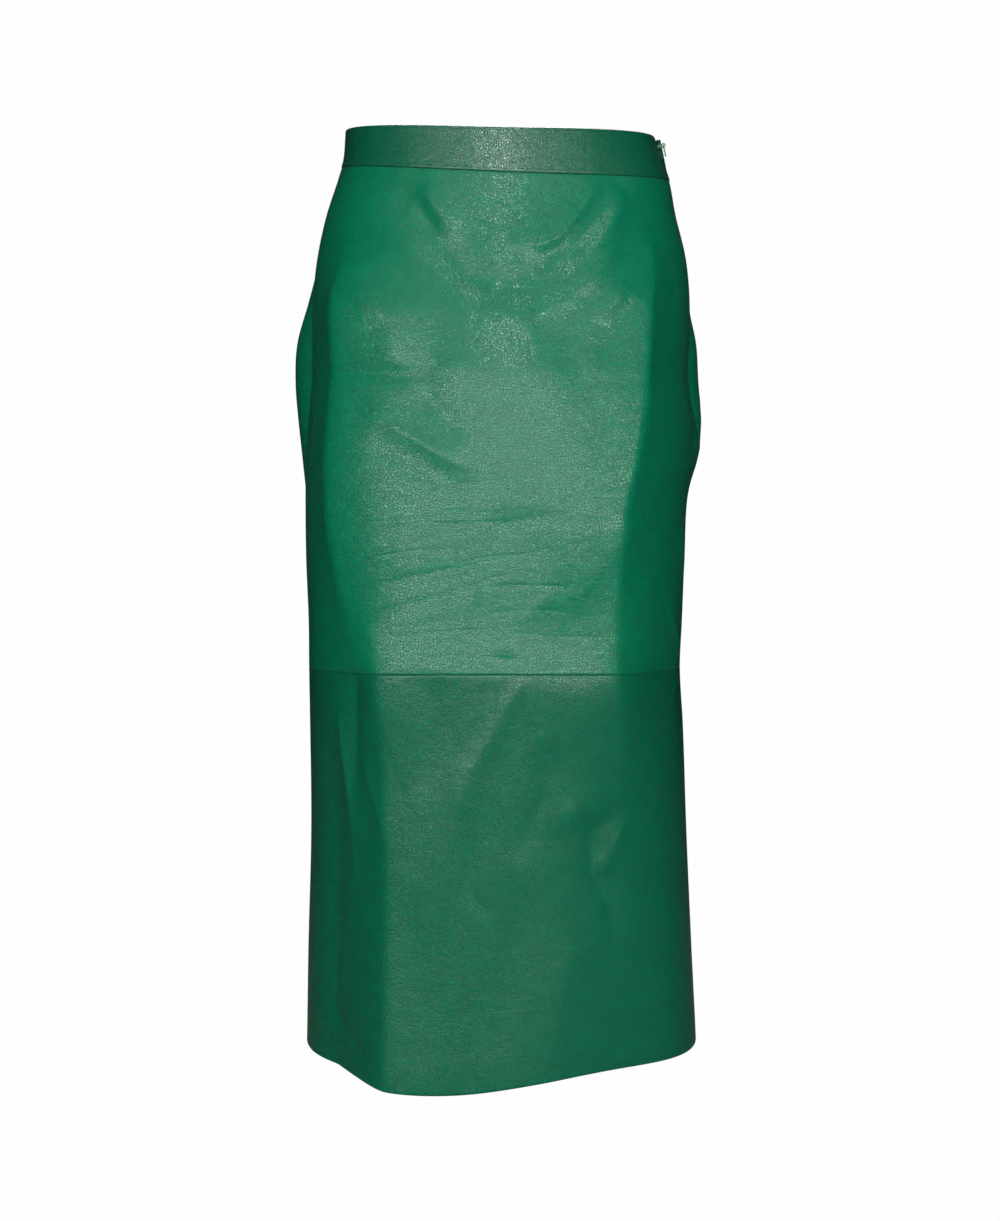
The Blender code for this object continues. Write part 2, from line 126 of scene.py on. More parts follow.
# The corners where the flat front turns to each side, which take the form's largest
# folds on from soft to sharp, and the ridge along the thigh seam
CORNERS = (
    crease(44, 26, 3, (138, -56), (135, -96, 8), (131.5, -130, 14), (130.5, -165, 15.5),
        (129.5, -195, 15), (127, -225, 14), (125, -255, 13.6), (122.5, -290, 13.4), (121.5, -330, 11.5),
        (122, -375, 8), (123, -420, 5.5), (125, -465, 4), (129, -540)),
    crease(22, 50, 5, (43, -60), (42, -100, 8), (41, -132, 14), (41, -165, 12.5), (41, -205, 12),
        (41, -250, 13), (42, -300, 12), (45, -350, 8), (50, -390, 4), (54, -420, 1)),
    crease(22, 55, 4, (51, -350), (55, -380, 4), (57, -412, 7), (59, -480, 9), (60.5, -600, 10),
        (61, -735, 10)),
    crease(24, 24, 6, (34, -440), (36, -520, -4), (38, -735, -5)),
    crease(36, 40, 4, (40, -414), (56, -413, 1.4), (72, -413, 2.2), (98, -412, 2.2), (110, -412)),
    crease(70, 20, 8, (98, -310), (106, -303, 1.6), (115, -302, 2.8), (123, -310, 2.0), (130, -324)),
)

# Creases of wear: drag lines under the waistband and across the hips
HIP_CREASES = (
    crease(10, 10, 4, (52, -28), (65, -55, -1.0), (74, -92, -1.3), (81, -113, -1.0), (88, -124)),
    crease(7, 7, 2, (64, -36), (67, -45, 1.0), (75, -69, 0.6), (80, -84)),
    crease(14, 14, 5, (44, -88), (47, -104, 1.0), (52, -126, 1.3), (60, -142, 0.8), (60, -170, 0.6),
        (57, -190)),
    crease(6, 6, 1.5, (124, -34), (119, -46, 0.8), (113, -62, 1.2), (107, -79, 1.3), (102, -85, 1.3),
        (97, -85, 0.8), (92, -81)),
    crease(9, 9, 4, (127, -36), (121, -55, -0.5), (113, -79, -0.7), (104, -97, -0.6), (96, -111, -0.4),
        (88, -126)),
    crease(8, 9, 3, (131, -36), (129, -48, 1.4), (124, -67, 2.2), (118, -84, 2.0), (112, -104, 1.0),
        (107, -118)),
    crease(5, 8, 1.5, (125, -82), (121, -95, 1.0), (114, -115, 1.1), (107, -130, 1.0), (98, -148)),
    crease(7, 7, 3, (111, -78), (110, -95, -0.8), (108, -113)),
    crease(7, 7, 2, (126, -106), (123, -120, 0.9), (119, -137, 0.7), (116, -150)),
    crease(10, 10, 3, (127, -120), (124, -138, -0.7), (119, -165, -0.7), (116, -185)),
    crease(46, 30, 8, (68, -180), (78, -184, 1.5), (92, -186, 2.0), (102, -184, 1.6), (112, -176)),
    crease(8, 8, 3, (30, -180), (40, -183, -0.9), (55, -184, -1.0), (68, -187, -0.7), (76, -192)),
    crease(9, 9, 3, (66, -190), (70, -203, -0.8), (77, -225, -0.9), (82, -242)),
    crease(7, 7, 2, (50, -205), (56, -218, 0.4), (63, -229, 0.6), (70, -240, 0.7), (78, -253, 0.6),
        (84, -262)),
    crease(12, 12, 7, (54, -232), (60, -242, -0.3), (68, -254, -0.6), (75, -265, -0.5),
        (82, -277, -0.2), (86, -284)),
)

# Soft folds across the thighs, and down the lower panel from the thigh seam
THIGH_CREASES = (
    crease(6, 6, 2, (84, -304), (92, -299, -0.7), (104, -293, -0.8), (112, -291, -0.8), (121, -297)),
    crease(40, 40, 10, (118, -290), (116, -340, -1.5), (113, -385, -3.0), (112, -400, -3.0)),
    crease(7, 7, 3, (90, -378), (91, -391, 0.7), (91, -402)),
    crease(6, 6, 2, (105, -345), (101, -358, 0.7), (97, -371, 0.6), (93, -382)),
    crease(8, 8, 3, (110, -352), (109, -370, -0.8), (107, -395, -0.9), (106, -408)),
    crease(3, 4, 1, (85, -345), (84, -356, -0.5), (83, -376, -0.7), (82, -398, -0.5), (82, -410)),
    crease(4, 4, 1.5, (92, -281), (91, -300, -0.4), (91, -322, -0.3), (91, -334)),
    crease(8, 8, 3, (157, -290), (159, -310, 0.8), (164, -340, 0.6), (166, -350)),
    crease(6, 6, 2, (147, -360), (151, -375, 0.8), (162, -400, 0.9), (167, -410)),
    crease(6, 6, 2, (164, -410), (158, -425, 0.8), (150, -440, 0.6), (145, -452)),
)
LOWER_CREASES = (
    crease(7, 8, 2.5, (99, -412, 0.4), (96, -420, 1.0), (91, -440, 1.4), (87, -463, 1.6),
        (82, -485, 1.2), (80, -512, 0.4), (79, -525)),
    crease(12, 10, 4, (84, -470), (80, -500, 1.0), (76, -540, 1.2), (73, -590, 0.6), (72, -620)),
    crease(14, 14, 5, (62, -560), (66, -600, -0.8), (69, -650, -1.0), (71, -700, -0.4), (72, -715)),
    crease(16, 12, 5, (98, -560), (95, -600, -0.9), (91, -650, -1.0), (88, -690, -0.5), (87, -712)),
    crease(12, 14, 5, (112, -600), (108, -640, 0.9), (105, -680, 0.8), (103, -716, 0.4)),
    crease(9, 9, 3, (72, -405), (72, -425, -1.1), (72, -450, -1.1), (70, -487, -0.7), (69, -510)),
    crease(9, 9, 3, (105, -460), (104, -478, -0.9), (102, -506, -1.0), (97, -540, -0.7), (93, -560)),
    crease(9, 9, 4, (108, -500), (111, -517, 0.9), (112, -535)),
    crease(8, 8, 2.5, (126, -508), (123, -520, -0.8), (117, -534, -1.3), (117, -562, -1.4),
        (122, -586, -1.0), (125, -623, -0.5), (126, -645)),
    crease(6, 6, 2, (129, -522), (126, -536, 0.9), (121, -557, 0.8), (118, -572)),
    crease(3.5, 3.5, 1, (82, -525), (82, -540, -0.5), (82, -576, -0.5), (85, -589, -0.4), (87, -600)),
    crease(5, 5, 1.5, (50, -470), (52, -487, 0.7), (58, -529, 0.6), (61, -550)),
    crease(4, 4, 1.2, (40, -440), (41, -455, 0.9), (46, -548, 0.7), (47, -590)),
    crease(7, 7, 2.5, (50, -400), (49, -430, -1.8), (48, -480, -1.2), (48, -520)),
    crease(4, 4, 1, (33, -664), (35, -672, -0.5), (41, -684, -0.6), (56, -708, -0.4), (60, -716)),
)

# Back: drag lines from the darts, folds under the seat and behind the thighs
BACK_CREASES = (
    crease(8, 8, 3, (236, -40), (243, -62, -0.9), (252, -88, -1.1), (262, -112)),
    crease(6, 7, 2, (303, -36), (296, -55, 0.9), (288, -80, 1.1), (281, -104)),
    crease(9, 9, 3, (214, -120), (222, -150, -1.0), (233, -182, -1.2), (247, -210)),
    crease(8, 10, 3, (328, -128), (318, -158, -1.1), (306, -190, -1.2), (292, -214)),
    crease(26, 12, 5, (222, -262), (236, -274, 1.8), (252, -280, 2.2), (264, -278)),
    crease(24, 12, 5, (318, -258), (304, -270, 1.6), (290, -277, 2.0), (278, -274)),
    crease(5, 6, 1.5, (228, -300), (240, -308, -1.0), (254, -311, -1.2), (268, -306)),
    crease(5, 6, 1.5, (314, -296), (302, -305, -1.1), (288, -310, -0.9), (276, -307)),
    crease(10, 10, 4, (232, -340), (240, -366, 1.2), (244, -396, 0.6), (246, -412)),
    crease(9, 9, 3, (308, -346), (300, -372, -1.0), (296, -402)),
    crease(34, 40, 4, (216, -414), (236, -413, 1.6), (300, -413, 1.8), (322, -414)),
    crease(10, 12, 4, (236, -430), (246, -470, 1.4), (256, -520, 0.8), (260, -560)),
    crease(9, 9, 3, (304, -436), (296, -480, -1.3), (290, -530, -0.8), (287, -575)),
    crease(7, 7, 2.5, (268, -450), (272, -486, 0.8), (273, -530)),
    crease(12, 12, 4, (226, -600), (232, -650, -1.2), (236, -700, -0.5), (238, -720)),
)
DARTS = ((251, -118), (289, -112))  # where each back dart ends: turn, level in mm
DART_CREASES = tuple(
    crease(9, 9, 2, (turn, -16, 0.6), (turn, 0.7 * level, 0.9), (turn, level, 1.0), (turn, level - 26))
    for turn, level in DARTS
)

GOLDEN = 0.618  # turns an index into an uneven share


def wrinkle(depth, *points):
    """A fine wrinkle of that depth in mm through the points (turn, level), which comes
    and goes at its ends and has its steeper side above."""
    last = len(points) - 1
    shares = [0 if k in (0, last) else 0.25 + 0.5 * (k * GOLDEN % 1) for k in range(last + 1)]
    return crease(1.3, 0.8, 0.3, *((*place, -depth * share) for place, share in zip(points, shares)))


WRINKLES = (
    wrinkle(0.30, (52, -284), (58, -280), (70, -273), (80, -269), (90, -265), (97, -263)),
    wrinkle(0.45, (70, -293), (76, -289), (83, -288), (86, -288)),
    wrinkle(0.40, (54, -304), (60, -301), (70, -298), (78, -298), (90, -297), (96, -296)),
    wrinkle(0.25, (98, -283), (108, -280), (118, -279), (126, -279)),
    wrinkle(0.45, (40, -346), (45, -338), (50, -333), (57, -324), (66, -319), (74, -318), (85, -318)),
    wrinkle(0.40, (60, -340), (68, -336), (77, -331), (84, -325), (92, -322), (100, -321)),
    wrinkle(0.60, (40, -378), (48, -370), (56, -362), (64, -357), (74, -352), (84, -347), (92, -345),
        (104, -345), (116, -349)),
    wrinkle(0.45, (70, -352), (78, -348), (85, -343), (90, -338), (93, -335)),
    wrinkle(0.30, (68, -362), (74, -359), (80, -357), (84, -357)),
    wrinkle(0.35, (84, -370), (89, -365), (97, -363), (106, -364), (112, -367)),
    wrinkle(0.35, (54, -383), (64, -382), (76, -379), (84, -378), (93, -380), (103, -383), (114, -384),
        (122, -385)),
    wrinkle(0.35, (68, -401), (77, -397), (84, -398), (95, -400), (100, -403)),
    wrinkle(0.30, (121, -258), (121, -290), (121, -331), (119, -360), (118, -386), (115, -409)),
    wrinkle(0.25, (148, -98), (147, -115), (146, -130), (145, -150), (144, -172)),
    wrinkle(0.25, (79, -258), (86, -262), (93, -261)),
    wrinkle(0.25, (80, -312), (83, -316), (86, -319)),
    wrinkle(0.25, (56, -352), (60, -345), (65, -340)),
    wrinkle(0.25, (64, -316), (70, -310), (74, -306), (78, -305)),
    wrinkle(0.40, (232, -322), (246, -330), (262, -331), (276, -326)),
    wrinkle(0.35, (258, -316), (272, -318), (288, -322), (302, -319)),
    wrinkle(0.30, (244, -342), (258, -346), (270, -344)),
    wrinkle(0.40, (274, -350), (286, -345), (300, -338), (312, -334)),
    wrinkle(0.30, (236, -366), (250, -372), (262, -373), (280, -370)),
    wrinkle(0.25, (276, -388), (290, -384), (304, -386)),
    wrinkle(0.25, (232, -395), (246, -392), (256, -394)),
)


def deeper(share, creases):
    """The same creases with their heights multiplied by `share`."""
    return tuple(
        each._replace(points=tuple((turn, level, share * height) for turn, level, height in each.points))
        for each in creases
    )


# All that shapes the leather in the looks
RELIEF = (
    FOLDS
    + CORNERS
    + deeper(2.1, HIP_CREASES)
    + deeper(1.3, THIGH_CREASES)
    + deeper(1.7, LOWER_CREASES)
    + deeper(1.4, BACK_CREASES)
    + DART_CREASES
    + WRINKLES
)
FOLD_ARC = 2.5 * MM  # one degree of turn, for distances to a crease and for the pattern's map

# Levels of each edge at the plain side, the front, the zip side and the back
BAND_TOP = (20 * MM, 6.5 * MM, 14.5 * MM, 18.5 * MM)
BAND_BOTTOM = (-10.5 * MM, -28.5 * MM, -21.5 * MM, -14.5 * MM)
THIGH_SEAM = (-416 * MM, -411.5 * MM, -416 * MM, -415 * MM)
HEM = (-720 * MM, -716 * MM, -720 * MM, -722 * MM)
HEM_DIP = 11 * MM
HEM_DIP_TURN = 75
HEM_DIP_REACH = 27
GAP = 0.3 * MM

# Leather: the sizes of its pieces, and how finely their surfaces are divided
SEAM_ROLL = 0.8 * MM  # radius of a turned edge
PANEL_ARC = 0.44  # half round the hips
UPPER_LENGTH = 0.392  # waistband to thigh seam, along the leather
LOWER_LENGTH = 0.306  # thigh seam to hem
COLUMN_STEP = 2.4 * MM
UPPER_ROW_STEP = 1.3 * MM
FINE_ROWS = (220 * MM, 390 * MM, 0.65 * MM)  # where the fine wrinkles are
LOWER_ROW_STEP = 1.5 * MM
HEM_TURN_UP = 32 * MM
HEM_ROLL = 1.6  # of the leather's thickness
ALLOWANCE = 9 * MM  # spare width past a seam
ALLOWANCE_THICK = 0.7 * MM  # its edges are pared thinner than the panel
ALLOWANCE_CLEAR = 6  # degrees from a side seam to a level one's end
ALLOWANCE_ABOVE = 1 * MM  # the edge of the turned-up hem
ALLOWANCE_ACROSS, ALLOWANCE_DOWN, ALLOWANCE_ROUND = 7, 340, 180  # points in a strip
GLUE = 0.05 * MM  # between it and the panel
BAND_PROUD = 0.5 * MM
BAND_THICK = 2.4 * MM
BAND_ARC = 0.355  # half round the waist
BAND_HEIGHT = 0.034
BAND_ROW_STEP = 0.8 * MM
BAND_COLUMN_STEP = 1.1 * MM
BAND_FOLD = 0.45  # radius of the fold at its top, of its thickness
FLARE = 6.5 * MM  # of the back strip's open corner above the zip
FLARE_EASE = 9.0  # degrees behind the zip
ZIP_BAND_GAP = 1.6 * MM

# Topstitching
THREAD = 0.21 * MM  # radius
THREAD_LIFT = 0.04 * MM  # of its middle above the leather
THREAD_TIP = 0.07  # of a half turn that a stitch's blunt end leaves out
STITCH_INSET = 2.4 * MM  # from the waistband's edge
STITCH_CLEAR = 1.2  # degrees short of each side seam
STITCH_HOLES = (0.06, 0.94)  # where a stitch starts and ends, of its pitch
STITCH_PATH = 2000  # points

# Zip, closed, in the wearer's left seam
TAPE_INNER_EDGE = 2.3 * MM
TAPE_OUTER_EDGE = 11.5 * MM
TAPE = 0.6 * MM
TAPE_DEPTH = 2.45 * MM  # inside the panels' face
BAND_TAPE_DEPTH = 2.85 * MM  # and inside the band's
TAPE_EASE = 2 * MM  # of level from one depth to the other
TAPE_BELOW_TOP = 2.5 * MM
TAPE_SHARE = 13 / 22  # of the upper panel's height that it runs down
TAPE_ROWS, TAPE_COLUMNS = 120, 9  # points
COIL_SHARE = 12 / 22
COIL_PITCH = 1.1 * MM
COIL_REACH = 2.0 * MM
COIL_OVERLAP = 0.4 * MM  # past the seam's middle, where the two sides mesh
COIL_RADIUS = 0.36 * MM
COIL_BELOW_SLIDER = 1.2 * MM
COIL_PATH = 400  # points
SLIDER_LEVEL = 9 * MM
SLIDER_WIDTH = 6 * MM
SLIDER_HEIGHT = 9 * MM
SLIDER_DEPTH = 3.2 * MM
SLIDER_CORNER = 1.6 * MM
SLIDER_EDGE = 0.6 * MM
SLIDER_SIDES = 64
SLIDER_CLEARANCE = 1.2 * MM
NECK_HEIGHT = 2.6 * MM
NECK_SUNK = 1.0 * MM  # into the slider's body
NECK_SHORT = 0.15 * MM  # of the crown's hole
NECK_CORNER = 0.3 * MM
NECK_EDGE = 0.15 * MM
CROWN_RADIUS = 1.9 * MM
CROWN_HOLE = 1.0 * MM
CROWN_WIDTH = 0.9 * MM
CROWN_EDGE = 0.2 * MM
CROWN_SIDES = 32
PULL_TURN = 180.5  # where the leather's face is taken, just behind the seam
PULL_STAND_OFF = 1.1 * MM  # of the pull's axis from the leather
PULL_LENGTH = 9.5 * MM
PULL_TOP = 0.5 * MM
PULL_NECK_WIDTH = 2.9 * MM
PULL_END_WIDTH = 3.6 * MM
PULL_THICKNESS = 0.8 * MM
PULL_EDGE = 0.22 * MM
PULL_HOLE_LENGTH = 2.4 * MM
PULL_HOLE_WIDTH = 1.5 * MM
PULL_HOLE_CORNER = 0.35 * MM
PULL_BAR = 0.4 * MM
PULL_SIDES = 96
PULL_PATH = 200

# Finishes
# Painted light and shade in the tones: the upper panels are painted lighter and the lower panels darker,
# for the light that falls fuller above the thigh seam than below it
UPPER_TONE, UPPER_ROUGHNESS = 1.16, 0.17
LOWER_TONE, LOWER_ROUGHNESS = 0.88, 0.18  # the lower panels are cut from darker skins, and are painted darker still as painted shade
BAND_TONE, BAND_ROUGHNESS = 0.78, 0.16
BAND_POLISH = 0.8  # of a second clear finish, rubbed up by pressing and wear
POLISH_ROUGHNESS = 0.18
LEATHER_IOR = 1.5
WANDER = 1.3  # how far the grain strays, in pebbles
WANDERS = 0.6  # strays in the width of a pebble
PEBBLE_DEPTH = 0.05 * MM
PEBBLE_TILT = 0.08  # slope of a pebble's top, of which each has up to half
VALLEY_EDGE, PEBBLE_EDGE = 0.02, 0.22  # from the valley's middle, in pebbles
VALLEY_SHADE = 0.5  # painted shade in the grain's valleys, a share of the leather's colour
VALLEY_ROUGHNESS = 0.5
FINE_GRAINS = 2.2  # finer grains in the width of a pebble
FINE_DEPTH = 0.03 * MM
STREAK_TURN, STREAK_LEVEL = 56, -135 * MM  # where the skin was stretched on the bias
STREAK_WIDTH, STREAK_HEIGHT = 55 * MM, 75 * MM
STREAK_BIAS = np.radians(40)
STREAK_SQUEEZE = 0.2  # of the noise along a streak, which draws it out five times
DRAWN = 1.3 * MM  # across one streak of drawn skin
DRAWN_DEPTH = 0.10 * MM
PATCH = 14 * MM  # across one patch of looser or firmer skin
PATCH_DEPTH = 0.4 * MM
DART_WIDTH = 0.9  # in mm, from a dart's line to flat leather
DART_DEPTH = 0.5 * MM
NAP, NAP_PATCH = 1.11 * MM, 25 * MM  # tufts of the flesh side, coarser than real to show
THREAD_PLY = 0.15 * MM
TAPE_RIB = 0.9 * MM
COIL_CLOUD = 3.33 * MM  # across one milky patch of the nylon
ENAMEL_PEEL, ENAMEL_RUB = 0.714 * MM, 2 * MM  # across one ripple, and one rubbed patch

# Camera: where the photograph was taken from, and its frame
PICTURE = (1000, 1221)
CAMERA_PLACE = (0.0, -1.5, -0.278)
FOCAL_PIXELS = 1830
HORIZON_ROW = 496
SENSOR = 36.0

# Soft lights: where each stands, what it faces, its width and height in metres, its
# power in watts and its colour
Light = namedtuple("Light", "name place facing width height power colour", defaults=("#FFFFFF",))
LIGHTS = (
    Light("front_softbox", (0.0, -2.6, 0.05), (0, 0, 0.05), 3.4, 0.5, 8),
    Light("front_diffuser", (0.0, -2.62, 0.05), (0, 0, 0.05), 4.4, 0.8, 17),
    Light("front_spill", (0.0, -2.64, 0.05), (0, 0, 0.05), 5.4, 1.2, 22),
    Light("left_softbox", (-1.5, -2.58, 0.08), (0, 0, 0.05), 0.9, 0.6, 2.2),
    Light("right_softbox", (1.5, -2.58, 0.14), (0, 0, 0.05), 0.9, 0.5, 2.4),
    Light("low_fill", (0.0, -2.7, -0.65), (0, 0, -0.5), 3.0, 0.5, 3),
    Light("room_glow", (0.0, -3.2, 0.7), (0, 0, 0.0), 5.0, 2.4, 16),
    Light("front_key", (0.0, -2.6, 1.0), (0, 0, -0.1), 0.5, 0.14, 4.6),
    Light("high_key", (0.0, -2.2, 2.6), (0, 0, -0.3), 1.6, 1.0, 17),
    Light("back_key", (0.0, 2.2, 2.6), (0, 0, -0.3), 1.6, 1.0, 80),
    Light("back_softbox", (0.0, 2.8, 0.0), (0, 0, 0.0), 0.8, 1.2, 10, "#FFFAF4"),
)
SURROUND = "#FEFEFE"  # what the camera sees behind and below the skirt
ROOM, ROOM_STRENGTH = "#FFF2E2", 0.012  # what the leather's gloss sees
FLOOR, FLOOR_ROUGHNESS = "#5C5C5C", 0.8
FLOOR_LEVEL, FLOOR_HALF = -1.2, 12.0
SQUARE = ((-1, -1), (1, -1), (1, 1), (-1, 1))


def linear(code):
    """A linear RGBA colour from an sRGB hex code."""
    channels = [int(code[i : i + 2], 16) / 255 for i in (1, 3, 5)]
    return [c / 12.92 if c <= 0.04045 else ((c + 0.055) / 1.055) ** 2.4 for c in channels] + [1.0]


class SkirtSettings(bpy.types.PropertyGroup):
    leather_colour: bpy.props.FloatVectorProperty(
        name="Leather",
        description="Colour of the dyed leather",
        subtype="COLOR",
        size=4,
        min=0,
        max=1,
        default=linear("#00865F"),
    )
    thread_colour: bpy.props.FloatVectorProperty(
        name="Thread",
        description="Colour of the topstitching",
        subtype="COLOR",
        size=4,
        min=0,
        max=1,
        default=linear("#0C7A55"),
    )
    thickness: bpy.props.FloatProperty(
        name="Leather thickness",
        description="Thickness of one layer of leather",
        unit="LENGTH",
        min=0.6 * MM,
        max=1.5 * MM,
        default=1.2 * MM,
    )
    pebble: bpy.props.FloatProperty(
        name="Pebble",
        description="Width of one pebble of the grain",
        unit="LENGTH",
        min=0.4 * MM,
        max=4 * MM,
        default=1.9 * MM,
    )
    stitch_pitch: bpy.props.FloatProperty(
        name="Stitch pitch",
        description="Length from one topstitch to the next",
        unit="LENGTH",
        min=2 * MM,
        max=5 * MM,
        default=3 * MM,
    )


def settings():
    """The sizes and colours set in the sidebar."""
    return bpy.context.scene.skirt_settings


# The form of the leather


def cubic(knots, values, slopes, place):
    """A smooth curve at any place: over the share s of each span between two knots it is
    the cubic that has their values and slopes at its two ends."""
    index = np.clip(np.searchsorted(knots, place) - 1, 0, len(knots) - 2)
    span = knots[index + 1] - knots[index]
    share = (place - knots[index]) / span
    return (
        values[index] * (2 * share**3 - 3 * share**2 + 1)
        + values[index + 1] * (3 * share**2 - 2 * share**3)
        + slopes[index] * span * (share**3 - 2 * share**2 + share)
        + slopes[index + 1] * span * (share**3 - share**2)
    )


def along(level, column):
    """A column of SECTIONS in metres at any level, on a cubic through its rows."""
    rows = SECTIONS[::-1]
    levels = np.array([row.level for row in rows]) * MM
    values = np.array([getattr(row, column) for row in rows]) * MM
    return cubic(levels, values, np.gradient(values, levels), level)


def round_through(turn, sides):
    """A level that swings smoothly round through its values at the four sides: their
    mean, plus half the differences of opposite sides by cosine and sine of the turn,
    plus a quarter of sides less front and back by the cosine of twice the turn."""
    plain, front, zip_side, back = sides
    angle = np.radians(turn)
    return (
        (plain + front + zip_side + back) / 4
        + (plain - zip_side) / 2 * np.cos(angle)
        + (front - back) / 2 * np.sin(angle)
        + (plain + zip_side - front - back) / 4 * np.cos(2 * angle)
    )


def top_edge(turn):
    return round_through(turn, BAND_TOP)


def band_bottom(turn):
    return round_through(turn, BAND_BOTTOM)


def panel_top(turn):
    return band_bottom(turn) - GAP


def thigh_seam(turn):
    return round_through(turn, THIGH_SEAM)


def below_thigh_seam(turn):
    return thigh_seam(turn) - GAP


def hem(turn):
    """The hem's level, with a dip like a bell curve beside the middle of the front."""
    dip = np.exp(-(((turn - HEM_DIP_TURN) / HEM_DIP_REACH) ** 2))
    return round_through(turn, HEM) - HEM_DIP * dip


def oval(turn, level):
    """A squared ellipse at each level: x and y are half width and depth times cosine and
    sine of the turn, over the power mean of the two. A swell widens the back panel just
    behind a side seam and eases in from nothing at the seam itself."""
    angle = np.radians(turn)
    cosine, sine = np.cos(angle), np.sin(angle)
    in_front = sine >= 0
    power = np.where(in_front, FRONT_SQUARENESS, BACK_SQUARENESS)
    reach = (np.abs(cosine) ** power + np.abs(sine) ** power) ** (-1 / power)
    plain = cosine > 0
    half = np.where(plain, along(level, "left"), along(level, "right"))
    swell = np.where(plain, along(level, "left_swell"), along(level, "right_swell"))
    swell = np.where(in_front, 0.0, np.maximum(swell, 0.0))
    behind = np.where(plain, 360 - turn, turn - 180)
    ease = np.exp(-np.abs(behind) / SWELL_EASE)
    width = (half + swell) * np.abs(cosine) * reach - swell * ease
    depth = np.where(in_front, along(level, "front"), along(level, "back"))
    return np.stack([np.where(plain, -width, width), -depth * sine * reach, level + 0 * turn], -1)


def outward(turn, level):
    """Unit normals of the oval: the cross product of its run round and its climb."""
    step, rise = 0.4, 2 * MM  # in degrees, and in level
    low = np.where(turn % 180 < step, turn, turn - step)
    high = np.where(180 - turn % 180 <= step, turn, turn + step)
    run = oval(high, level) - oval(low, level)
    climb = oval(turn, level + rise) - oval(turn, level - rise)
    normal = np.cross(run, climb)
    return normal / np.linalg.norm(normal, axis=-1, keepdims=True)


def creased(turn, level, creases):
    """Height of a set of creases: for each, the cubic through its heights at the nearest
    point of its line, times exp(-d), where d is the rounded distance from the line over
    the flank's reach."""
    place = np.stack([turn * FOLD_ARC, level], -1)
    total = np.zeros(level.shape)
    for each in creases:
        nearest = np.full(level.shape, np.inf)
        along_line = np.zeros(level.shape)
        flank = np.ones(level.shape)
        line = np.array(each.points, float) * (FOLD_ARC, MM, MM)
        lengths = np.linalg.norm(np.diff(line[:, :2], axis=0), axis=1)
        knots = np.concatenate([[0], np.cumsum(lengths)])
        for knot, length, start, end in zip(knots, lengths, line[:-1], line[1:]):
            run = end[:2] - start[:2]
            share = np.clip((place - start[:2]) @ run / (run @ run), 0, 1)
            offset = place - start[:2] - share[..., None] * run
            away = np.hypot(offset[..., 0], offset[..., 1])
            side = run[0] * offset[..., 1] - run[1] * offset[..., 0]
            near = away < nearest
            nearest = np.where(near, away, nearest)
            along_line = np.where(near, knot + share * length, along_line)
            flank = np.where(near, np.where(side > 0, each.after, each.before) * MM, flank)
        slopes = np.gradient(line[:, 2], knots)
        if len(line) > 2:
            slopes[[0, -1]] = 0
        height = cubic(knots, line[:, 2], slopes, along_line)
        crest = each.crest * MM
        total += height * np.exp(-(np.sqrt(nearest**2 + crest**2) - crest) / flank)
    return total


def flare(turn, level):
    """How far the back strip's open corner stands out at the top of the zip."""
    up_band = (level - band_bottom(turn)) / (top_edge(turn) - band_bottom(turn))
    behind_zip = np.where(turn > 180, np.exp(-(turn - 180) / FLARE_EASE), 0)
    return FLARE * np.clip(up_band, 0, 1.2) * behind_zip


def spoke(turn):
    """The level direction straight out from the axis, in which creases are lifted."""
    angle = np.radians(turn)
    return np.stack([-np.cos(angle), -np.sin(angle), 0 * angle], -1)


def leather(turn, level, out=0.0, creases=FOLDS):
    """Points that lie `out` metres outside the leather's outer face."""
    turn, level, out = np.broadcast_arrays(np.asarray(turn, float), level, out)
    lift = creased(turn, level, creases) + flare(turn, level)
    return oval(turn, level) + lift[..., None] * spoke(turn) + out[..., None] * outward(turn, level)


def off_seam(seam, distance, level):
    """The turns that lie `distance` along the leather from the side seam at `seam`."""
    in_front = (seam == 0) == (np.max(distance) > 0) and seam < 360
    return seam + np.degrees(distance / along(level, "front" if in_front else "back"))


# Surfaces to meshes

# Places across a piece from edge to edge: distance in from the first edge, distance
# short of the last, share of the way between the two, and depth under the face
Stations = namedtuple("Stations", "first last share depth")


def stations(length, step, first_roll, last_roll, turns=4, fine=None):
    """Stations `step` apart, drawn together round each rolled edge. On a roll of radius
    r at angle a the place is r(1 - cos a) from the edge and r(1 - sin a) deep. `fine` is
    a stretch with closer stations: where it starts and ends, and its own step."""
    angle = np.linspace(0, np.pi / 2, turns + 1)
    if fine:
        start, end, close = fine
        ends = np.arange(0, start, step), np.arange(start, end, close), np.arange(end, length, step)
        plain = np.concatenate(ends)[1:] / length
    else:
        spans = round(length / step)
        plain = np.arange(1, spans) / spans
    count = len(plain) + 1
    zero, flat = np.zeros(turns + 1), np.zeros(count - 1)
    inset, sink = 1 - np.cos(angle), 1 - np.sin(angle)
    return Stations(
        np.concatenate([first_roll * inset, flat + first_roll, zero + first_roll]),
        np.concatenate([zero + last_roll, flat + last_roll, (last_roll * inset)[::-1]]),
        np.concatenate([zero, plain, zero + 1]),
        np.concatenate([first_roll * sink, flat, (last_roll * sink)[::-1]]),
    )


def piece_places(seam, top, bottom, rows, columns):
    """Turn, level and depth on the grid of a piece from the side seam at `seam` to the
    next, each place between the two edges by its station."""
    first, last, share, depth = (np.asarray(part)[:, None] for part in rows)
    at_seam = (top(seam) - first) * (1 - share) + (bottom(seam) + last) * share
    start = off_seam(seam, GAP / 2 + columns.first, at_seam)
    end = off_seam(seam + 180, -GAP / 2 - columns.last, at_seam)
    turn = start + (end - start) * columns.share
    level = (top(turn) - first) * (1 - share) + (bottom(turn) + last) * share
    return turn, level, np.maximum(depth, columns.depth)


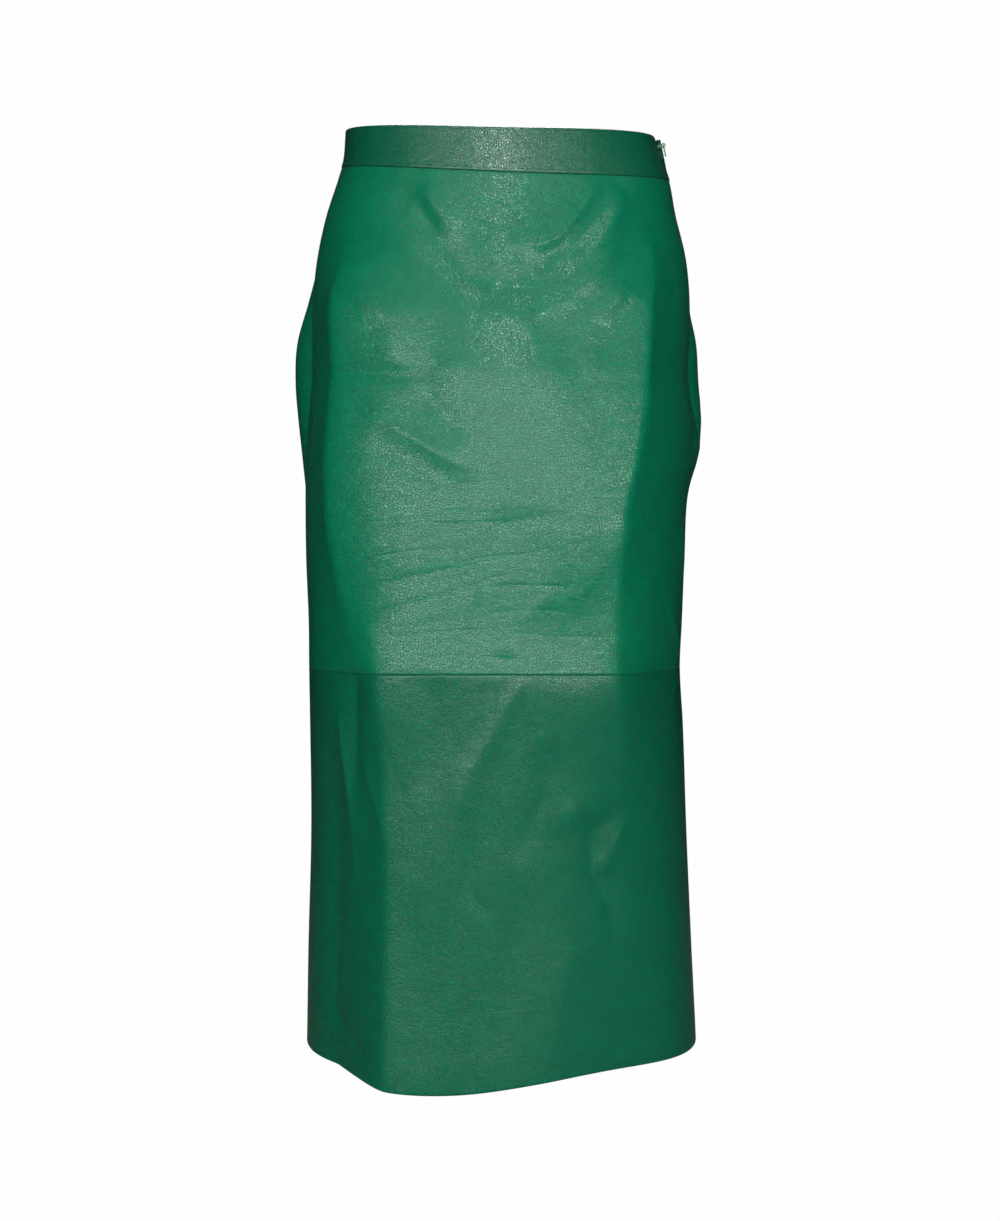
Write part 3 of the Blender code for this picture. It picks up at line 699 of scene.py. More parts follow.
def mesh_object(name, points, polygons, materials, slots=None, uv=None, marks=()):
    """An object from points and a list of whole arrays of faces, each array with its own
    number of corners, and a material slot for each array."""
    mesh = bpy.data.meshes.new(name)
    polygons = [np.asarray(group, np.int32) for group in polygons if len(group)]
    corners = np.concatenate([group.ravel() for group in polygons])
    sizes = np.concatenate([np.full(len(group), group.shape[1], np.int32) for group in polygons])
    mesh.vertices.add(len(points))
    mesh.vertices.foreach_set("co", np.asarray(points, np.float32).ravel())
    mesh.loops.add(len(corners))
    mesh.loops.foreach_set("vertex_index", corners)
    mesh.polygons.add(len(sizes))
    mesh.polygons.foreach_set("loop_start", np.cumsum(sizes) - sizes)
    if slots:
        index = np.concatenate([np.full(len(g), s, np.int32) for g, s in zip(polygons, slots)])
        mesh.polygons.foreach_set("material_index", index)
    mesh.polygons.foreach_set("use_smooth", np.ones(len(sizes), bool))
    mesh.update(calc_edges=True)
    for key, values in dict(marks).items():
        mark = mesh.attributes.new(key, "FLOAT", "POINT")
        mark.data.foreach_set("value", values.astype(np.float32))
    if uv is not None:
        cut = mesh.uv_layers.new(name="cut")
        cut.uv.foreach_set("vector", np.asarray(uv, np.float32)[corners].ravel())
    for material in materials:
        mesh.materials.append(material)
    thing = bpy.data.objects.new(name, mesh)
    bpy.context.scene.collection.objects.link(thing)
    return thing


def quads(grid):
    """The faces of a grid of point numbers, facing out where the columns run the way
    the turn grows and the rows run down."""
    return np.stack([grid[:-1, :-1], grid[1:, :-1], grid[1:, 1:], grid[:-1, 1:]], -1).reshape(-1, 4)


def rim(outer, inner, picks):
    """Faces that join an edge of the outer skin to every `picks`-th point of the inner."""
    groups = {}
    for k, (a, b) in enumerate(zip(picks[:-1], picks[1:])):
        face = list(outer[a : b + 1]) + [inner[k + 1], inner[k]]
        groups.setdefault(len(face), []).append(face)
    return [np.array(faces) for faces in groups.values()]


def thinned(count, stride, keep=()):
    """Every `stride`-th index of `count`, and always the last and those in `keep`."""
    return np.unique(np.concatenate([np.arange(0, count, stride), [count - 1], keep]).astype(int))


def shell(name, turn, level, depth, thickness, materials, proud=0.0, stride=3, keep=()):
    """A closed wall of leather: its outer face on the fine grid, its inner face on a
    thinned one `thickness` below, and a rim round the edges."""
    outer = leather(turn, level, proud - depth, RELIEF)
    rows, columns = thinned(len(turn), stride, keep), thinned(turn.shape[1], stride)
    under = np.ix_(rows, columns)
    wall = np.broadcast_to(thickness, turn.shape)[under]
    inner = leather(turn[under], level[under], proud - wall, RELIEF)
    a = np.arange(turn.size).reshape(turn.shape)
    b = np.arange(inner[..., 0].size).reshape(len(rows), len(columns)) + turn.size
    rims = rim(a[0, ::-1], b[0, ::-1], (turn.shape[1] - 1 - columns)[::-1])
    rims += rim(a[-1], b[-1], columns)
    rims += rim(a[:, 0], b[:, 0], rows)
    rims += rim(a[::-1, -1], b[::-1, -1], (len(turn) - 1 - rows)[::-1])

    def both(values, width=1):
        return np.concatenate([part.reshape(-1, width) for part in (values, values[under])])

    flat = np.stack([turn * FOLD_ARC, level], -1)
    hip = (flat - (STREAK_TURN * FOLD_ARC, STREAK_LEVEL)) / (STREAK_WIDTH, STREAK_HEIGHT)
    streak = np.exp(-(hip**2).sum(-1))
    points = np.concatenate([outer.reshape(-1, 3), inner.reshape(-1, 3)])
    faces = [quads(a), quads(b)[:, ::-1], *rims]
    marks = {"streak": both(streak).ravel(), "dart": both(from_darts(turn, level)).ravel()}
    return mesh_object(name, points, faces, materials, [0, 1] + [0] * len(rims), both(flat, 2), marks)


def from_darts(turn, level):
    """Distance in millimetres to the nearest dart's stitched line, negative before it,
    and growing past the dart's point."""
    lines = np.array(DARTS, float)
    across = (turn[..., None] - lines[:, 0]) * FOLD_ARC / MM
    past = np.maximum(lines[:, 1] - level[..., None] / MM, 0)
    nearest = np.argmin(np.abs(across), -1)[..., None]
    across, past = (np.take_along_axis(part, nearest, -1)[..., 0] for part in (across, past))
    return np.where(across < 0, across - past, across + past)


def joined(parts):
    """Several (points, face groups) as one."""
    starts = np.cumsum([0] + [len(points) for points, groups in parts])
    points = np.concatenate([points for points, groups in parts])
    groups = [group + start for (_, groups), start in zip(parts, starts) for group in groups]
    return points, groups


def slab(outline, half, rounding, inner=None, turns=3):
    """A flat plate with rounded rims, of an outline and the outline of a hole or none,
    both with the same number of points and anticlockwise. Its rim at angle a lies
    r(1 - cos a) in from the outline and r sin a past where the rounding starts."""
    sweep = np.linspace(-np.pi / 2, np.pi / 2, 2 * turns + 2)
    inset = rounding * (1 - np.cos(sweep))
    height = np.sign(sweep) * (half - rounding) + rounding * np.sin(sweep)

    def rings(loop, inwards):
        run = np.roll(loop, -1, 0) - np.roll(loop, 1, 0)
        normal = np.stack([run[:, 1], -run[:, 0]], -1) / np.linalg.norm(run, axis=1)[:, None]
        flat = loop[None] - inwards * inset[:, None, None] * normal[None]
        return np.concatenate([flat, np.broadcast_to(height[:, None, None], flat[..., :1].shape)], -1)

    points = rings(outline, 1)
    if inner is not None:
        points = np.concatenate([points, rings(inner, -1)[::-1]])
    index = np.arange(points[..., 0].size).reshape(points.shape[:2])
    wrapped = np.concatenate([index, index[:, :1]], 1)
    if inner is not None:
        wrapped = np.concatenate([wrapped, wrapped[:1]])
    faces = [quads(wrapped.T)]
    if inner is None:
        faces += [index[:1, ::-1], index[-1:]]
    return points.reshape(-1, 3), faces


def capsules(start, end, radius, up, sides=6, rings=5):
    """Short round threads from each start to its end: at s from -1 to 1 along a thread
    its radius is r sqrt(1 - s squared)."""
    along_it = end - start
    length = np.linalg.norm(along_it, axis=-1, keepdims=True)
    across = np.cross(up, along_it / length)
    across /= np.linalg.norm(across, axis=-1, keepdims=True)
    s = np.cos(np.pi * np.linspace(1 - THREAD_TIP, THREAD_TIP, rings))
    reach = radius * np.sqrt(1 - s**2)
    phi = 2 * np.pi * np.arange(sides) / sides
    middle = (start + end) / 2
    points = (
        middle[:, None, None]
        + s[None, :, None, None] * along_it[:, None, None] / 2
        + (reach[:, None] * np.cos(phi))[None, ..., None] * across[:, None, None]
        + (reach[:, None] * np.sin(phi))[None, ..., None] * up[:, None, None]
    )
    index = np.arange(points[..., 0].size).reshape(points.shape[:3])
    wrapped = np.concatenate([index, index[..., :1]], -1)
    low, high = wrapped[:, :-1], wrapped[:, 1:]
    walls = np.stack([low[..., 1:], low[..., :-1], high[..., :-1], high[..., 1:]], -1)
    return points.reshape(-1, 3), [walls.reshape(-1, 4), index[:, 0], index[:, -1, ::-1]]


def seen_from(centre, loop):
    """The loop's points at even angles round the centre, anticlockwise."""
    offset = loop - centre
    angle = np.arctan2(offset[:, 1], offset[:, 0])
    order = np.argsort(angle)
    even = np.linspace(-np.pi, np.pi, PULL_SIDES, endpoint=False)
    reach = np.interp(even, angle[order], np.hypot(*offset[order].T), period=2 * np.pi)
    return centre + reach[:, None] * np.stack([np.cos(even), np.sin(even)], -1)


def rounded(low, high, radius, count=256):
    """Points round a rectangle whose corners are arcs of that radius."""
    angle = 2 * np.pi * np.arange(count) / count
    corner = np.stack([np.cos(angle), np.sin(angle)], -1)
    middle, half = np.add(low, high) / 2, np.subtract(high, low) / 2 - radius
    return middle + np.sign(corner) * half + radius * corner


# Materials


def fill(tree, node, inputs):
    """Fills a node's inputs with links or constants."""
    for name, value in dict(inputs).items():
        if isinstance(value, bpy.types.NodeSocket):
            tree.links.new(value, node.inputs[name])
        else:
            node.inputs[name].default_value = value


def put(tree, kind, inputs=(), **values):
    """Adds a node, sets its values and fills its inputs."""
    made = tree.nodes.new("ShaderNode" + kind)
    for name, value in values.items():
        setattr(made, name, value)
    fill(tree, made, inputs)
    return made


def new_material(name):
    """An empty material, its node tree and its Principled shader."""
    material = bpy.data.materials.new(name)
    material.use_nodes = True
    return material, material.node_tree, material.node_tree.nodes["Principled BSDF"]


def shaded(colour, share):
    """A colour at a share of its brightness."""
    return [share * channel for channel in colour[:3]] + [1]


def dyed_nappa(name, tone, roughness, polish=0.0):
    """Aniline-dyed lamb nappa with a clear finish: the eye sees deep green and a gloss
    that breaks into sparks, because each flat-topped pebble tilts its own way and the
    narrow valleys between them stay dull, and the valleys are painted darker as painted
    shade. On the plain hip the skin was stretched on the bias, and there the pebbles run
    into streaks. `polish` adds a second finish."""
    material, tree, shader = new_material(name)
    pebble = settings().pebble
    middle = (0.5, 0.5, 0.5)
    flat = put(tree, "UVMap", uv_map="cut").outputs[0]

    # The grain's cells, on a map that strays a little
    wander = {"Vector": flat, "Scale": WANDERS / pebble, "Detail": 2.0}
    wander = put(tree, "TexNoise", wander, noise_dimensions="2D").outputs["Color"]
    wander = put(tree, "VectorMath", {0: wander, 1: middle}, operation="SUBTRACT").outputs[0]
    wander = put(tree, "VectorMath", {0: wander, "Scale": WANDER * pebble}, operation="SCALE").outputs[0]
    bent = put(tree, "VectorMath", {0: flat, 1: wander}, operation="ADD").outputs[0]
    cells = {"Vector": bent, "Scale": 1 / pebble}
    edge = put(tree, "TexVoronoi", cells, feature="DISTANCE_TO_EDGE", voronoi_dimensions="2D")
    cell = put(tree, "TexVoronoi", cells, feature="F1", voronoi_dimensions="2D")
    ramp = {"Value": edge.outputs["Distance"], "From Min": VALLEY_EDGE, "From Max": PEBBLE_EDGE}
    top = put(tree, "MapRange", ramp, interpolation_type="SMOOTHSTEP").outputs["Result"]
    lean = {0: cell.outputs["Color"], 1: middle}
    lean = put(tree, "VectorMath", lean, operation="SUBTRACT").outputs[0]
    reach = {0: bent, 1: cell.outputs["Position"]}
    reach = put(tree, "VectorMath", reach, operation="SUBTRACT").outputs[0]
    tilt = put(tree, "VectorMath", {0: lean, 1: reach}, operation="DOT_PRODUCT").outputs["Value"]

    # Finer grain, the drawn streaks, looser patches and the darts' stitched lines
    fine = {"Vector": bent, "Scale": FINE_GRAINS / pebble, "Detail": 3.0}
    fine = put(tree, "TexNoise", fine, noise_dimensions="2D").outputs["Fac"]
    bias = {"Vector": bent, "Rotation": (0, 0, STREAK_BIAS), "Scale": (STREAK_SQUEEZE, 1, 1)}
    bias = put(tree, "Mapping", bias).outputs[0]
    drawn = {"Vector": bias, "Scale": 1 / DRAWN, "Detail": 2.0}
    drawn = put(tree, "TexNoise", drawn, noise_dimensions="2D").outputs["Fac"]
    streak = put(tree, "Attribute", attribute_name="streak").outputs["Fac"]
    drawn = put(tree, "Math", {0: drawn, 1: streak}, operation="MULTIPLY").outputs[0]
    patch = {"Vector": flat, "Scale": 1 / PATCH, "Detail": 3.0, "Roughness": 0.6}
    patch = put(tree, "TexNoise", patch, noise_dimensions="2D").outputs["Fac"]
    dart = put(tree, "Attribute", attribute_name="dart").outputs["Fac"]
    dart = put(tree, "Math", {0: dart}, operation="ABSOLUTE").outputs[0]
    ramp = {"Value": dart, "From Max": DART_WIDTH, "To Min": -DART_DEPTH, "To Max": 0.0}
    height = put(tree, "MapRange", ramp, interpolation_type="SMOOTHSTEP").outputs["Result"]
    layers = (
        (top, PEBBLE_DEPTH),
        (tilt, PEBBLE_TILT),
        (fine, FINE_DEPTH),
        (drawn, DRAWN_DEPTH),
        (patch, PATCH_DEPTH),
    )
    for layer, depth in layers:
        height = put(tree, "Math", {0: layer, 1: depth, 2: height}, operation="MULTIPLY_ADD").outputs[0]
    grain = put(tree, "Bump", {"Height": height, "Strength": 1.0, "Distance": 1.0}).outputs[0]

    # Painted shade darkens the valleys, which are also duller, and the tone is a little uneven from
    # patch to patch
    dye = shaded(settings().leather_colour, tone)
    dyed = {0: top, 6: shaded(dye, VALLEY_SHADE), 7: dye}
    dyed = put(tree, "Mix", dyed, data_type="RGBA").outputs[2]
    cloud = {"Value": patch, "From Min": 0.3, "From Max": 0.7, "To Min": 0.94, "To Max": 1.06}
    cloud = put(tree, "MapRange", cloud).outputs["Result"]
    uneven = {0: 1.0, 6: dyed, 7: cloud}
    uneven = put(tree, "Mix", uneven, data_type="RGBA", blend_type="MULTIPLY").outputs[2]
    rough = {"Value": top, "To Min": VALLEY_ROUGHNESS, "To Max": roughness}
    rough = put(tree, "MapRange", rough).outputs["Result"]
    fill(tree, shader, {"Base Color": uneven, "Roughness": rough, "Normal": grain, "IOR": LEATHER_IOR})
    if polish:
        clear = {"Coat Normal": grain, "Coat Weight": polish, "Coat Roughness": POLISH_ROUGHNESS}
        fill(tree, shader, clear)
    return material


def finish(tree, shader, share, tones, height, relief, looks):
    """Colours a shader between two tones by `share`, and lifts it by `height`."""
    tone = put(tree, "Mix", {0: share, 6: tones[0], 7: tones[1]}, data_type="RGBA").outputs[2]
    bump = put(tree, "Bump", {"Height": height, "Distance": relief}).outputs[0]
    fill(tree, shader, {"Base Color": tone, "Normal": bump, **looks})


def flesh_side():
    """The suede back of the same leather: matt, paler and softly napped."""
    material, tree, shader = new_material("leather_flesh_side")
    place = put(tree, "TexCoord").outputs["Object"]
    nap, cloud = (
        put(tree, "TexNoise", {"Vector": place, "Scale": 1 / size, "Detail": detail}).outputs["Fac"]
        for size, detail in ((NAP, 4.0), (NAP_PATCH, 3.0))
    )
    both = put(tree, "Math", {0: nap, 1: cloud}, operation="ADD").outputs[0]
    share = put(tree, "MapRange", {"Value": both, "From Min": 0.7, "From Max": 1.3}).outputs["Result"]
    tones = linear("#0B5C43"), linear("#22795B")
    finish(tree, shader, share, tones, nap, 0.12 * MM, {"Roughness": 0.92, "Sheen Weight": 0.15})
    return material


def polyester_thread():
    """Bonded polyester sewing thread: fine twisted plies that give it a soft lustre."""
    material, tree, shader = new_material("polyester_thread")
    place = put(tree, "TexCoord").outputs["Object"]
    plies = {"Vector": place, "Scale": 1 / THREAD_PLY, "Detail": 1.0}
    plies = put(tree, "TexNoise", plies).outputs["Fac"]
    colour = settings().thread_colour
    tones = shaded(colour, 0.55), shaded(colour, 1)
    finish(tree, shader, plies, tones, plies, 0.05 * MM, {"Roughness": 0.45})
    return material


def woven_tape():
    """Dyed polyester zip tape: a matt herringbone whose ribs run with the teeth."""
    material, tree, shader = new_material("woven_polyester_tape")
    cut = put(tree, "UVMap", uv_map="cut").outputs[0]
    parts = put(tree, "SeparateXYZ", {0: cut}).outputs
    across, down = (
        put(tree, "Math", {0: parts[k], 1: 2 * np.pi / TAPE_RIB}, operation="MULTIPLY").outputs[0]
        for k in (0, 1)
    )
    leaning = put(tree, "Math", {0: across}, operation="ABSOLUTE").outputs[0]
    twill = put(tree, "Math", {0: leaning, 1: down}, operation="ADD").outputs[0]
    rib = put(tree, "Math", {0: twill}, operation="SINE").outputs[0]
    share = put(tree, "MapRange", {"Value": rib, "From Min": -1.0}).outputs["Result"]
    tones = linear("#0A4A36"), linear("#16705A")
    finish(tree, shader, share, tones, share, 0.12 * MM, {"Roughness": 0.9, "Sheen Weight": 0.2})
    return material


def nylon_coil():
    """Dyed nylon monofilament: smooth and slightly milky, so each loop has a small glint."""
    material, tree, shader = new_material("dyed_nylon_coil")
    place = put(tree, "TexCoord").outputs["Object"]
    cloud = {"Vector": place, "Scale": 1 / COIL_CLOUD, "Detail": 2.0}
    cloud = put(tree, "TexNoise", cloud).outputs["Fac"]
    tones = {0: cloud, 6: linear("#0C5A42"), 7: linear("#1A7A5C")}
    tone = put(tree, "Mix", tones, data_type="RGBA").outputs[2]
    fill(tree, shader, {"Base Color": tone, "Roughness": 0.32})
    return material


def enamelled_zinc():
    """Die-cast zinc in pale green stove enamel: thick glossy paint, slightly orange
    peeled, and rubbed a little duller in patches."""
    material, tree, shader = new_material("green_enamelled_zinc")
    place = put(tree, "TexCoord").outputs["Object"]
    peel, rub = (
        put(tree, "TexNoise", {"Vector": place, "Scale": 1 / size, "Detail": detail}).outputs["Fac"]
        for size, detail in ((ENAMEL_PEEL, 1.0), (ENAMEL_RUB, 4.0))
    )
    rough = {"Value": rub, "From Min": 0.35, "From Max": 0.7, "To Min": 0.2, "To Max": 0.42}
    rough = put(tree, "MapRange", rough).outputs["Result"]
    tones = linear("#12714F"), linear("#279168")
    finish(tree, shader, rub, tones, peel, 0.02 * MM, {"Roughness": rough})
    return material


# Operators


def ride_skirt(thing, *nodes, slot="leather"):
    """Puts a piece on the skirt's body, and hides the nodes that it replaces. `slot` is not used."""
    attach(thing, "skirt")
    if nodes:
        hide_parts(*nodes)
    return thing


class SKIRT_OT_panels(bpy.types.Operator):
    """Make the four leather panels, with rolled seam edges and a turned-up hem"""

    bl_idname = "skirt.panels"
    bl_label = "Leather panels"

    def execute(self, context):
        inside = flesh_side()
        # The upper panels' leather is painted lighter as painted light, and the lower panels' darker as
        # painted shade
        upper_skins = [dyed_nappa("dyed_nappa", UPPER_TONE, UPPER_ROUGHNESS), inside]
        lower_skins = [dyed_nappa("dyed_nappa_lower_shaded_skin", LOWER_TONE, LOWER_ROUGHNESS), inside]
        wall = settings().thickness
        columns = stations(PANEL_ARC, COLUMN_STEP, SEAM_ROLL, SEAM_ROLL)
        lower_rows = stations(LOWER_LENGTH, LOWER_ROW_STEP, SEAM_ROLL, HEM_ROLL * wall)
        turned_up = len(lower_rows.share) - 1 - round(HEM_TURN_UP / LOWER_ROW_STEP)
        doubled = np.arange(len(lower_rows.share))[:, None] > turned_up
        lower_wall = np.where(doubled, 2 * wall, wall)
        for name, seam, fine in (("front", 0, FINE_ROWS), ("back", 180, None)):
            spare = self.allowances(name, seam, [inside, upper_skins[0]])
            rows = stations(UPPER_LENGTH, UPPER_ROW_STEP, SEAM_ROLL, SEAM_ROLL, fine=fine)
            places = piece_places(seam, panel_top, thigh_seam, rows, columns)
            panel = shell(f"{name}_upper_leather", *places, wall, upper_skins)
            ride_skirt(panel, f"{name}_upper")
            places = piece_places(seam, below_thigh_seam, hem, lower_rows, columns)
            inner_edge = (turned_up, turned_up + 1)
            panel = shell(f"{name}_lower_leather", *places, lower_wall, lower_skins, keep=inner_edge)
            ride_skirt(panel, f"{name}_lower")
        return {"FINISHED"}

    def allowances(self, name, seam, skins):
        """The panels' spare edges, pressed open and glued flat inside along each seam,
        grain side in: two upright strips by the side seams, and level ones between them."""
        under = settings().thickness + GLUE
        counts = (ALLOWANCE_ACROSS, ALLOWANCE_DOWN, ALLOWANCE_ROUND)
        across, down, wide = (np.linspace(0, 1, count) for count in counts)
        strips = {}
        for edge, start, sign in (("left", seam, 1), ("right", seam + 180, -1)):
            low = hem(start) + HEM_TURN_UP + ALLOWANCE_ABOVE
            level = (band_bottom(start) * (1 - down) + low * down)[:, None]
            strips[edge] = off_seam(start, ALLOWANCE * (sign * across)[::sign], level), level
        turn = seam + ALLOWANCE_CLEAR + (180 - 2 * ALLOWANCE_CLEAR) * wide
        strips["waist"] = turn, band_bottom(turn) - ALLOWANCE * across[:, None]
        strips["thigh"] = turn, thigh_seam(turn) + ALLOWANCE * (1 - 2 * across[:, None])
        made = []
        for edge, places in strips.items():
            places = (*np.broadcast_arrays(*places), under)
            strip = shell(f"{name}_allowance_{edge}", *places, under + ALLOWANCE_THICK, skins, stride=1)
            made.append(ride_skirt(strip))
        return made


class SKIRT_OT_waistband(bpy.types.Operator):
    """Make the two strips of the waistband, folded over at the top"""

    bl_idname = "skirt.waistband"
    bl_label = "Waistband"

    def execute(self, context):
        nappa = dyed_nappa("pressed_nappa", BAND_TONE, BAND_ROUGHNESS, BAND_POLISH)
        rows = stations(BAND_HEIGHT, BAND_ROW_STEP, BAND_FOLD * BAND_THICK, SEAM_ROLL)
        columns = stations(BAND_ARC, BAND_COLUMN_STEP, SEAM_ROLL, SEAM_ROLL)
        for name, seam, end, sign in (("front", 0, -1, -1), ("back", 180, 0, 1)):
            turn, level, depth = piece_places(seam, top_edge, band_bottom, rows, columns)
            shift = off_seam(180, sign * (ZIP_BAND_GAP - GAP) / 2, level[:, :1]) - 180
            turn = turn + shift * np.exp(-np.abs(turn - turn[:, end, None]))
            places = (turn, level, depth)
            strip = shell(f"waistband_{name}_leather", *places, BAND_THICK, [nappa, nappa], BAND_PROUD)
            ride_skirt(strip, f"waistband_{name}")
        return {"FINISHED"}


class SKIRT_OT_topstitching(bpy.types.Operator):
    """Sew the two rows of fine stitches along the waistband's edges"""

    bl_idname = "skirt.topstitching"
    bl_label = "Topstitching"

    def execute(self, context):
        thread = polyester_thread()
        for name, first in (("front", 0), ("back", 180)):
            turn = np.linspace(first + STITCH_CLEAR, first + 180 - STITCH_CLEAR, STITCH_PATH)
            edges = top_edge(turn) - STITCH_INSET, band_bottom(turn) + STITCH_INSET
            points, faces = joined([self.row(turn, level) for level in edges])
            stitches = mesh_object(f"waistband_{name}_stitches", points, faces, [thread])
            ride_skirt(stitches)
        return {"FINISHED"}

    def row(self, turn, level):
        """Stitches at even lengths along a path, each dipping in at its two ends."""
        path = leather(turn, level, BAND_PROUD, RELIEF)
        run = np.concatenate([[0], np.cumsum(np.linalg.norm(np.diff(path, axis=0), axis=1))])
        count = int(run[-1] / settings().stitch_pitch)
        pitch = run[-1] / count
        hole = np.arange(count) * pitch
        start, end = (
            np.stack([np.interp(hole + share * pitch, run, path[:, k]) for k in range(3)], -1)
            for share in STITCH_HOLES
        )
        middle = hole + pitch / 2
        up = outward(np.interp(middle, run, turn), np.interp(middle, run, level))
        return capsules(start + up * THREAD_LIFT, end + up * THREAD_LIFT, THREAD, up)


def zip_path(top, share, count):
    """Levels down the zip, and how deep its tapes lie there."""
    level = np.linspace(top, panel_top(180) + share * (thigh_seam(180) - panel_top(180)), count)
    in_band = np.clip((level - panel_top(180)) / TAPE_EASE, 0, 1)
    return level, TAPE_DEPTH + (BAND_TAPE_DEPTH - TAPE_DEPTH) * in_band


def pull_frame():
    """The point that the pull hangs from, and the ways along its axis, out and up."""
    level = SLIDER_LEVEL + np.array([0, 4, -12]) * MM
    face, top, low = leather(PULL_TURN, level, BAND_PROUD)
    up = (top - low) * (1, 0, 1)
    up /= np.linalg.norm(up)
    axis = np.array([0.0, 1.0, 0.0])
    out = np.cross(axis, up)
    return face * (1, 0, 1) + out * PULL_STAND_OFF, axis, out, up


def set_in(points, centre, *ways):
    """Points given along three ways from a centre."""
    return centre + points @ np.stack(ways)


class SKIRT_OT_zip(bpy.types.Operator):
    """Make the closed zip: two tapes, the coil, the slider and its pull"""

    bl_idname = "skirt.zip"
    bl_label = "Side zip"

    def execute(self, context):
        weave, metal = woven_tape(), enamelled_zinc()
        for name, sign in (("front", -1), ("back", 1)):
            self.tape(name, sign, weave)
        self.coil()
        self.slider(metal)
        self.pull(metal)
        return {"FINISHED"}

    def tape(self, name, sign, weave):
        """A flat strip beside the seam, behind the panel and the waistband."""
        level, depth = zip_path(top_edge(180) - TAPE_BELOW_TOP, TAPE_SHARE, TAPE_ROWS)
        across = np.linspace(TAPE_INNER_EDGE, TAPE_OUTER_EDGE, TAPE_COLUMNS)[::sign]
        turn = off_seam(180, sign * across, level[:, None])
        level, depth = (np.broadcast_to(part[:, None], turn.shape) for part in (level, depth))
        tape = shell(f"zip_tape_{name}_woven", turn, level, depth, depth + TAPE, [weave, weave])
        ride_skirt(tape, f"zip_tape_{name}", slot="zip_tape")

    def coil(self):
        """Loops of the two sides in turn, each across the seam from just past its middle."""
        top = SLIDER_LEVEL - SLIDER_HEIGHT / 2 - COIL_BELOW_SLIDER
        level, depth = zip_path(top, COIL_SHARE, COIL_PATH)
        count = int((level[0] - level[-1]) / COIL_PITCH) * 2
        place = np.linspace(level[0] - COIL_RADIUS, level[-1] + COIL_RADIUS, count)
        depth = np.interp(-place, -level, depth) + 2 * COIL_RADIUS
        seam = leather(180.0, place, -depth, RELIEF)
        side = np.where(np.arange(count) % 2, 1.0, -1.0)[:, None] * (0, 1, 0)
        up = np.broadcast_to((1.0, 0, 0), seam.shape)
        loops = capsules(seam - COIL_OVERLAP * side, seam + COIL_REACH * side, COIL_RADIUS, up)
        coil = mesh_object("zip_coil_loops", *loops, [nylon_coil()])
        ride_skirt(coil, "zip_coil", slot="zip_coil")

    def slider(self, metal):
        """A rounded body behind the seam, with a neck out to a ring, the crown."""
        centre, axis, out, up = pull_frame()
        back = leather(180.0, np.array(SLIDER_LEVEL), -(BAND_TAPE_DEPTH + TAPE + SLIDER_CLEARANCE))
        inside = (back - centre) @ out
        corner = np.array([SLIDER_WIDTH, SLIDER_HEIGHT]) / 2
        body = rounded(-corner, corner, SLIDER_CORNER, SLIDER_SIDES)
        body, body_faces = slab(body, SLIDER_DEPTH / 2, SLIDER_EDGE)
        body = body + (0, 0, inside - SLIDER_DEPTH / 2)
        neck_low = (-NECK_HEIGHT / 2, inside - NECK_SUNK)
        neck_high = (NECK_HEIGHT / 2, -(CROWN_HOLE + NECK_SHORT))
        neck = rounded(neck_low, neck_high, NECK_CORNER, CROWN_SIDES)
        neck, neck_faces = slab(neck, CROWN_WIDTH / 2, NECK_EDGE)
        corner = np.array([CROWN_RADIUS, CROWN_RADIUS])
        ring = rounded(-corner, corner, CROWN_RADIUS, CROWN_SIDES)
        crown, crown_faces = slab(ring, CROWN_WIDTH / 2, CROWN_EDGE, ring * CROWN_HOLE / CROWN_RADIUS)
        parts = [
            (set_in(body, centre, axis, up, out), body_faces),
            (set_in(neck, centre, up, out, axis), neck_faces),
            (set_in(crown, centre, up, out, axis), crown_faces),
        ]
        points, faces = joined(parts)
        slider = mesh_object("zip_slider_enamelled", points, faces, [metal])
        ride_skirt(slider, "zip_slider", slot="zip_metal")

    def pull(self, metal):
        """A thin tab that widens to a round end, with an eye for the crown."""
        half = PULL_END_WIDTH / 2
        rise = np.linspace(0, 1, PULL_PATH)
        arc = np.pi * rise
        end = np.stack([-half * np.cos(arc), half - PULL_LENGTH - half * np.sin(arc)], -1)
        width = half + (PULL_NECK_WIDTH / 2 - half) * rise
        tall = half - PULL_LENGTH + (PULL_TOP - half + PULL_LENGTH) * rise
        right = np.stack([width, tall], -1)
        top = np.stack([(1 - 2 * rise) * PULL_NECK_WIDTH / 2, PULL_TOP + 0 * rise], -1)
        loop = np.concatenate([end, right, top, (right * (-1, 1))[::-1]])
        low = -PULL_BAR - PULL_HOLE_LENGTH
        eye = rounded((-PULL_HOLE_WIDTH / 2, low), (PULL_HOLE_WIDTH / 2, -PULL_BAR), PULL_HOLE_CORNER)
        middle = np.array([0, low - PULL_BAR]) / 2
        outline, hole = seen_from(middle, loop), seen_from(middle, eye)
        points, faces = slab(outline, PULL_THICKNESS / 2, PULL_EDGE, hole)
        centre, axis, out, up = pull_frame()
        points = set_in(points, centre, axis, up, out)
        tab = mesh_object("zip_pull_enamelled", points, faces, [metal])
        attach(tab, "pull")
        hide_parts("zip_pull")


